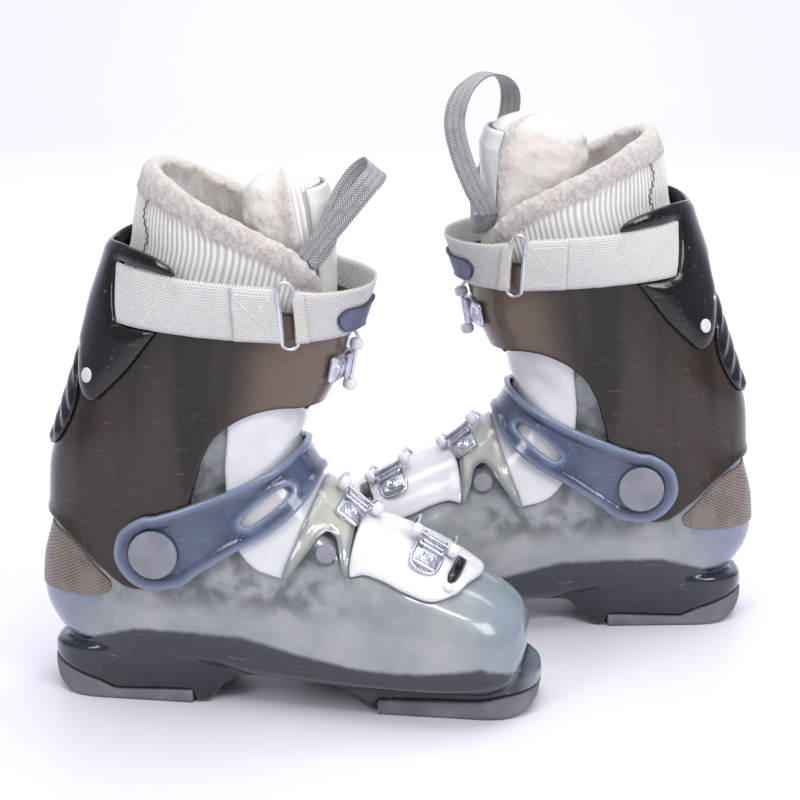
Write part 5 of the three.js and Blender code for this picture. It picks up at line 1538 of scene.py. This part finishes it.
SCREW = [(0.01, -1), (4.6, -1), (4.6, 0.2), (4.2, 0.75), (3.5, 0.95), (2.9, 0.7), (2.7, 0.25), (2.5, 0.2),
         (2.3, 0.75), (1.8, 1.15), (1.1, 1.25), (1.0, 0.5), (0.01, 0.45)]


class BuckleFrame:
    """Plane across the boot in which a buckle lies. tau is the way round the boot, h the height."""

    def __init__(self, q, down):
        self.q = np.array(q, float)
        self.b = np.array(down, float) / np.linalg.norm(down)
        self.n = np.array([-self.b[1], self.b[0]])
        phis = np.radians(np.arange(-132, 133, 3.0))
        grid = np.arange(0, LAST, 0.05)
        p = body(grid[:, None], phis[None])
        cut = (p[..., 0] - self.q[0]) * self.b[0] + (p[..., 2] - self.q[1]) * self.b[1]
        start = grid[np.argmin(np.abs(cut[:, len(phis) // 2]))]
        flat = []
        for k, phi in enumerate(phis):
            hits = np.nonzero(cut[:-1, k] * cut[1:, k] <= 0)[0]
            i = hits[np.argmin(np.abs(grid[hits] - start))]
            s = grid[i] + 0.05 * cut[i, k] / (cut[i, k] - cut[i + 1, k] + 1e-12)
            x, y, z = body(np.array([s]), np.array([phi]))[0]
            flat.append((y, (x - self.q[0]) * self.n[0] + (z - self.q[1]) * self.n[1]))
        self.flat = np.array(flat)
        arc = np.concatenate([[0], np.cumsum(np.linalg.norm(np.diff(self.flat, axis=0), axis=1))])
        self.arc = arc - arc[len(phis) // 2]

    def on(self, tau):
        return np.stack([np.interp(tau, self.arc, self.flat[:, k]) for k in (0, 1)], -1)

    def at(self, tau, d):
        """In-plane points at arc lengths tau and heights d."""
        tau = np.asarray(tau, float)
        way = self.on(tau + 1.5) - self.on(tau - 1.5)
        way /= np.linalg.norm(way, axis=-1, keepdims=True)
        up = np.stack([-way[..., 1], way[..., 0]], -1)
        return self.on(tau) + up * np.asarray(d, float)[..., None]

    def place(self, yh, k):
        yh, k = np.broadcast_arrays(np.asarray(yh, float), np.asarray(k, float)[..., None])
        y, h, k = yh[..., 0], yh[..., 1], k[..., 0]
        x = self.q[0] + self.n[0] * h + self.b[0] * k
        z = self.q[1] + self.n[1] * h + self.b[1] * k
        return np.stack([x, y, z], -1)

    def spot(self, tau, k, d):
        return self.place(self.at(tau, d), k)


def plate(frame_, outline, low, high, soft=0.5, crown=0.0):
    """Rounded plate bent over the boot: outline of (tau, k), heights from low to high."""
    loop = np.array(outline, float)
    n = len(loop)
    centre = loop.mean(0)
    rings = []
    levels = [(0.86, low), (0.97, low + soft * 0.3), (1.0, low + soft)]
    levels += [(1.0, high - soft), (0.97, high - soft * 0.3), (0.86, high)]
    for scale, h in levels:
        q = centre + (loop - centre) * scale
        rings.append(frame_.spot(q[:, 0], q[:, 1], np.full(n, h)))
    for scale in (0.6, 0.3):
        q = centre + (loop - centre) * scale
        rings.append(frame_.spot(q[:, 0], q[:, 1], np.full(n, high + crown * (1 - scale))))
        rings.insert(0, frame_.spot(q[:, 0], q[:, 1], np.full(n, low)))
    return loft(rings)


def rounded(t0, t1, k0, k1, radius, steps=6):
    """Outline of a rectangle with round corners, as (tau, k)."""
    out = []
    corners = [(t1 - radius, k1 - radius, 0), (t0 + radius, k1 - radius, 1)]
    corners += [(t0 + radius, k0 + radius, 2), (t1 - radius, k0 + radius, 3)]
    for t, k, quarter in corners:
        for j in range(steps):
            a = (quarter + j / (steps - 1)) * PI / 2
            out.append((t + radius * math.cos(a), k + radius * math.sin(a)))
    return out


def buckle(side, name):
    spec = BUCKLES[name]
    f = BuckleFrame(spec["q"], spec["down"])
    home = spec["body"]
    c0, seat, base = spec["catch"], spec["seat"], spec["base"]
    # Catch: a bent plate with a countersunk screw and, further out, a ladder of teeth.
    flat_top = seat + 1.4
    parts = [plate(f, rounded(c0 - 13, c0 + 13, -8, 8, 2.2), flat_top - 1.3, flat_top + 1.9, 0.6)]
    for k in (-1, 1):
        wall = rounded(c0 - 1, c0 + 12.8, k * 7.3 - 0.7, k * 7.3 + 0.7, 0.6, 4)
        parts.append(plate(f, wall, flat_top + 1.7, flat_top + 3.6, 0.4))
    for t in (-0.4, 3.4, 10.0):
        ends = f.spot(np.full(3, c0 + t), np.array([-6.6, 0, 6.6]), np.full(3, flat_top + 2.5))
        parts.append(tube(ends, 1.15, 10))
    points, faces = joined(parts)
    build(side, f"{name}_buckle_catch", points, faces, home, "steel", f"{name}_catch")
    at = np.array([c0 - 7.4])
    origin = f.spot(at, np.array([0.0]), np.array([flat_top + 1.8]))[0]
    above = f.spot(at, np.array([0.0]), np.array([flat_top + 4.0]))[0]
    points, faces = lathe(SCREW, origin, above - origin, 40)
    build(side, f"{name}_buckle_screw", points, faces, home, "steel")
    if name == "toe":
        half = [(c0 + 3, 8.8), (c0 - 8, 8.9), (c0 - 13, 7.6), (c0 - 15.2, 3.5)]
        rim = half + [(c0 - 15.6, 0)] + [(t, -k) for t, k in half[::-1]]
        rim_t, rim_k = np.array(rim).T
        path = f.spot(rim_t, rim_k, np.full(len(rim), seat + 1.6))
        points, faces = tube(spline(path, 60), 1.0, 10)
        build(side, "toe_buckle_rim", points, faces, home, "steel")
    # Base, pinned to the far side, with two ears and the lever's pin.
    hinge = spec["hinge"]
    parts = [plate(f, rounded(hinge - 10, hinge + 14, -11, 11, 3), base, base + 1.6, 0.5)]
    for k in (-10.25, 10.25):
        centre = f.at(np.array(hinge), np.array(base + 5.2))
        outline = []
        for a in np.linspace(-0.2 * PI, 1.2 * PI, 14):
            outline.append(centre + 3.4 * np.array([math.cos(a), math.sin(a)]))
        foot = [f.at(np.array(hinge + t), np.array(base + 0.8)) for t in (-5.0, 5.0)]
        outline = np.array(outline + foot)
        rings = [f.place(outline, np.full(len(outline), k + h)) for h in (-0.75, -0.6, 0.6, 0.75)]
        middle = outline.mean(0)
        rings[0] = f.place(middle + (outline - middle) * 0.94, np.full(len(outline), k - 0.75))
        rings[3] = f.place(middle + (outline - middle) * 0.94, np.full(len(outline), k + 0.75))
        parts.append(loft(rings))
    centre = f.at(np.array(hinge), np.array(base + 5.2))
    ends = [f.place(centre, np.array(k)) for k in (-11.4, 0.0, 11.4)]
    parts.append(tube(ends, 1.7, 16))
    points, faces = joined(parts)
    build(side, f"{name}_buckle_base", points, faces, home, "steel", f"{name}_base")
    # Lever: a hub round the pin and a long thumb plate with finger ribs and a rounded end.
    reach = spec["reach"]
    hub = []
    for a in np.linspace(0, 2 * PI, 28, endpoint=False):
        hub.append(centre + 3.2 * np.array([math.cos(a), math.sin(a)]))
    hub = np.array(hub)
    barrel = ((0.8, -9), (1, -8.6), (1, 8.6), (0.8, 9))
    parts = [loft([f.place(centre + (hub - centre) * g, np.full(28, k)) for g, k in barrel])]
    outline = []
    for t in np.linspace(-0.5, reach - 5, 14):
        outline.append((hinge + t, 9.0 - 1.6 * smooth(t / reach)))
    for a in np.linspace(0, PI, 14):
        outline.append((hinge + reach - 5 + 5 * math.sin(a), 7.6 * math.cos(a)))
    for t in np.linspace(reach - 5, -0.5, 14):
        outline.append((hinge + t, -9.0 + 1.6 * smooth(t / reach)))
    parts.append(plate(f, outline, base + 6.6, base + 8.4, 0.5, crown=0.4))
    for k in range(4):
        t = hinge + reach - 6 - 3.2 * k
        ends = f.spot(np.full(3, t), np.array([-5.0, 0, 5.0]), np.full(3, base + 8.6))
        parts.append(tube(ends, 0.6, 8))
    points, faces = joined(parts)
    build(side, f"{name}_buckle_lever", points, faces, f"{name}_lever", "steel", f"{name}_lever")
    # Wire bail over the front, with a crossbar that hooks behind a tooth and nylon end sleeves.
    cross_at, cross_high = c0 + 6.8, flat_top + 2.4 + WIRE + 0.1
    start = hinge + 8.2
    tau = np.linspace(start, cross_at, 24)
    to_high = np.clip((start - tau) / 16, 0, 1)
    to_cross = np.clip((cross_at + 16 - tau) / 14, 0, 1)
    low = 4.3 + base + (max(spec["wire"], 4.3 + base) - 4.3 - base) * smooth(to_high)
    heights = low + (cross_high - low) * smooth(to_cross)
    line = f.at(tau, heights)
    one = f.place(line, np.full(24, BAIL_HALF))
    two = f.place(line, np.full(24, -BAIL_HALF))[::-1]
    path = np.concatenate([one, two])
    soft_path = []
    n = len(path)
    for i in range(n):
        a, b, c = path[i - 1], path[i], path[(i + 1) % n]
        turn = np.dot(b - a, c - b) / np.linalg.norm(b - a) / np.linalg.norm(c - b)
        if turn < 0.5:
            u, v = (a - b) / np.linalg.norm(a - b), (c - b) / np.linalg.norm(c - b)
            r = 2.2
            for g in np.linspace(0, 1, 6):
                soft_path.append(b + u * r * (1 - g) ** 2 + v * r * g**2)
        else:
            soft_path.append(b)
    wire = np.array(soft_path)
    fine = []
    for a, b in zip(wire, np.roll(wire, -1, 0)):
        steps = max(int(np.linalg.norm(b - a) / 3.0), 1)
        fine.extend(a + (b - a) * g / steps for g in range(steps))
    points, faces = joined([tube(np.array(fine), WIRE, 12, wrap=True)])
    build(side, f"{name}_buckle_bail", points, faces, f"{name}_bail", "steel", f"{name}_bail")
    for number, k in enumerate((-1, 1)):
        where = f.place(f.at(np.array(cross_at), np.array(cross_high)), np.array(k * 9.4))
        beyond = f.place(f.at(np.array(cross_at), np.array(cross_high)), np.array(k * 15.4))
        points, faces = lathe(SLEEVE, where, beyond - where, 28)
        build(side, f"{name}_bail_sleeve_{number}", points, faces, f"{name}_bail", "knob",
              edge=4.0)


# ---------------------------------------------------------------- stage, light and camera
def stage():
    look = Look("studio_floor", Roughness=0.35, Specular_IOR_Level=0.35)
    where = look.node("TexCoord", out=3)
    base = look.mix(look.noise(where, 0.8, 2), srgb(230, 229, 237), srgb(234, 233, 241))
    look.finish(base, None, look.bump(look.noise(where, 0.02, 2), 0.02))
    mesh = bpy.data.meshes.new("floor")
    half, front_edge, deep, high, bend, steps = 9.0, -12.0, 3.0, 3.0, 1.0, 16
    line = [(front_edge, 0.0), (deep - bend, 0.0)]
    for a in np.linspace(0, PI / 2, steps)[1:]:
        line.append((deep - bend + bend * math.sin(a), bend - bend * math.cos(a)))
    line.append((deep, high))
    verts = [(x, y, z) for y, z in line for x in (-half, half)]
    mesh.from_pydata(verts, [], [(2 * i, 2 * i + 1, 2 * i + 3, 2 * i + 2) for i in range(len(line) - 1)])
    mesh.polygons.foreach_set("use_smooth", [True] * len(mesh.polygons))
    floor = bpy.data.objects.new("floor", mesh)
    floor.data.materials.append(look.mat)
    bpy.context.scene.collection.objects.link(floor)
    floor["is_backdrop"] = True


def softbox(name, location, target, size, power, color=(1, 1, 1)):
    light = bpy.data.lights.new(name, "AREA")
    light.shape = "RECTANGLE"
    light.size, light.size_y = size
    light.energy = power
    light.color = color
    obj = bpy.data.objects.new(name, light)
    obj.location = location
    obj.rotation_euler = (Vector(target) - Vector(location)).to_track_quat("-Z", "Y").to_euler()
    bpy.context.scene.collection.objects.link(obj)


def light_and_camera():
    world = bpy.data.worlds.new("studio")
    world.use_nodes = True
    world.node_tree.nodes["Background"].inputs[0].default_value = (0.90, 0.90, 1.0, 1)
    world.node_tree.nodes["Background"].inputs[1].default_value = 0.4
    bpy.context.scene.world = world
    middle = (0, 0, 0.12)
    softbox("overhead", (0.1, -0.1, 1.7), middle, (1.4, 0.9), 14, (1, 1, 1))
    softbox("front_left", (-1.25, -1.5, 1.25), middle, (0.7, 0.7), 12, (0.98, 0.99, 1))
    softbox("front_right", (1.35, -1.25, 1.2), middle, (0.7, 0.7), 12, (1, 0.99, 0.98))
    softbox("streak", (0.35, -0.95, 1.15), (0.1, 0, 0.1), (0.7, 0.08), 5, (1, 1, 1))
    softbox("backdrop", (0, 0.9, 1.9), (0, 2.4, 0.4), (2.8, 1.2), 44, (0.97, 0.97, 1))
    data = bpy.data.cameras.new("camera")
    data.sensor_width = 36.0
    data.lens = 97.26
    data.clip_end = 30
    camera = bpy.data.objects.new("camera", data)
    target = Vector((-0.0079, -0.0416, 0.1771))
    tilt, distance = math.radians(16.03), 1.3019
    camera.location = target + Vector((0, -math.cos(tilt), math.sin(tilt))) * distance
    camera.rotation_euler = (target - camera.location).to_track_quat("-Z", "Y").to_euler()
    bpy.context.scene.collection.objects.link(camera)
    bpy.context.scene.camera = camera
    bpy.context.scene.view_settings.view_transform = "Standard"


# ---------------------------------------------------------------- the pair
light_and_camera()
stage()
SKIN = shell_skin()
for SIDE in SIDES:
    lower_shell(SIDE, SKIN)
    sole_pads(SIDE)
    heel_insert(SIDE)
    toe_plate(SIDE)
    shell_tongue(SIDE)
    instep_flap(SIDE)
    instep_yoke(SIDE)
    pivots(SIDE)
    cuff(SIDE)
    rear_collar(SIDE)
    power_strap(SIDE)
    pull_loop(SIDE)
    liner(SIDE)
    liner_tongue(SIDE)
    for NAME in BUCKLES:
        buckle(SIDE, NAME)

LOOKS_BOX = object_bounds()
{"cad": [list(p) for p in CAD_BOX], "visual": [list(p) for p in LOOKS_BOX]}
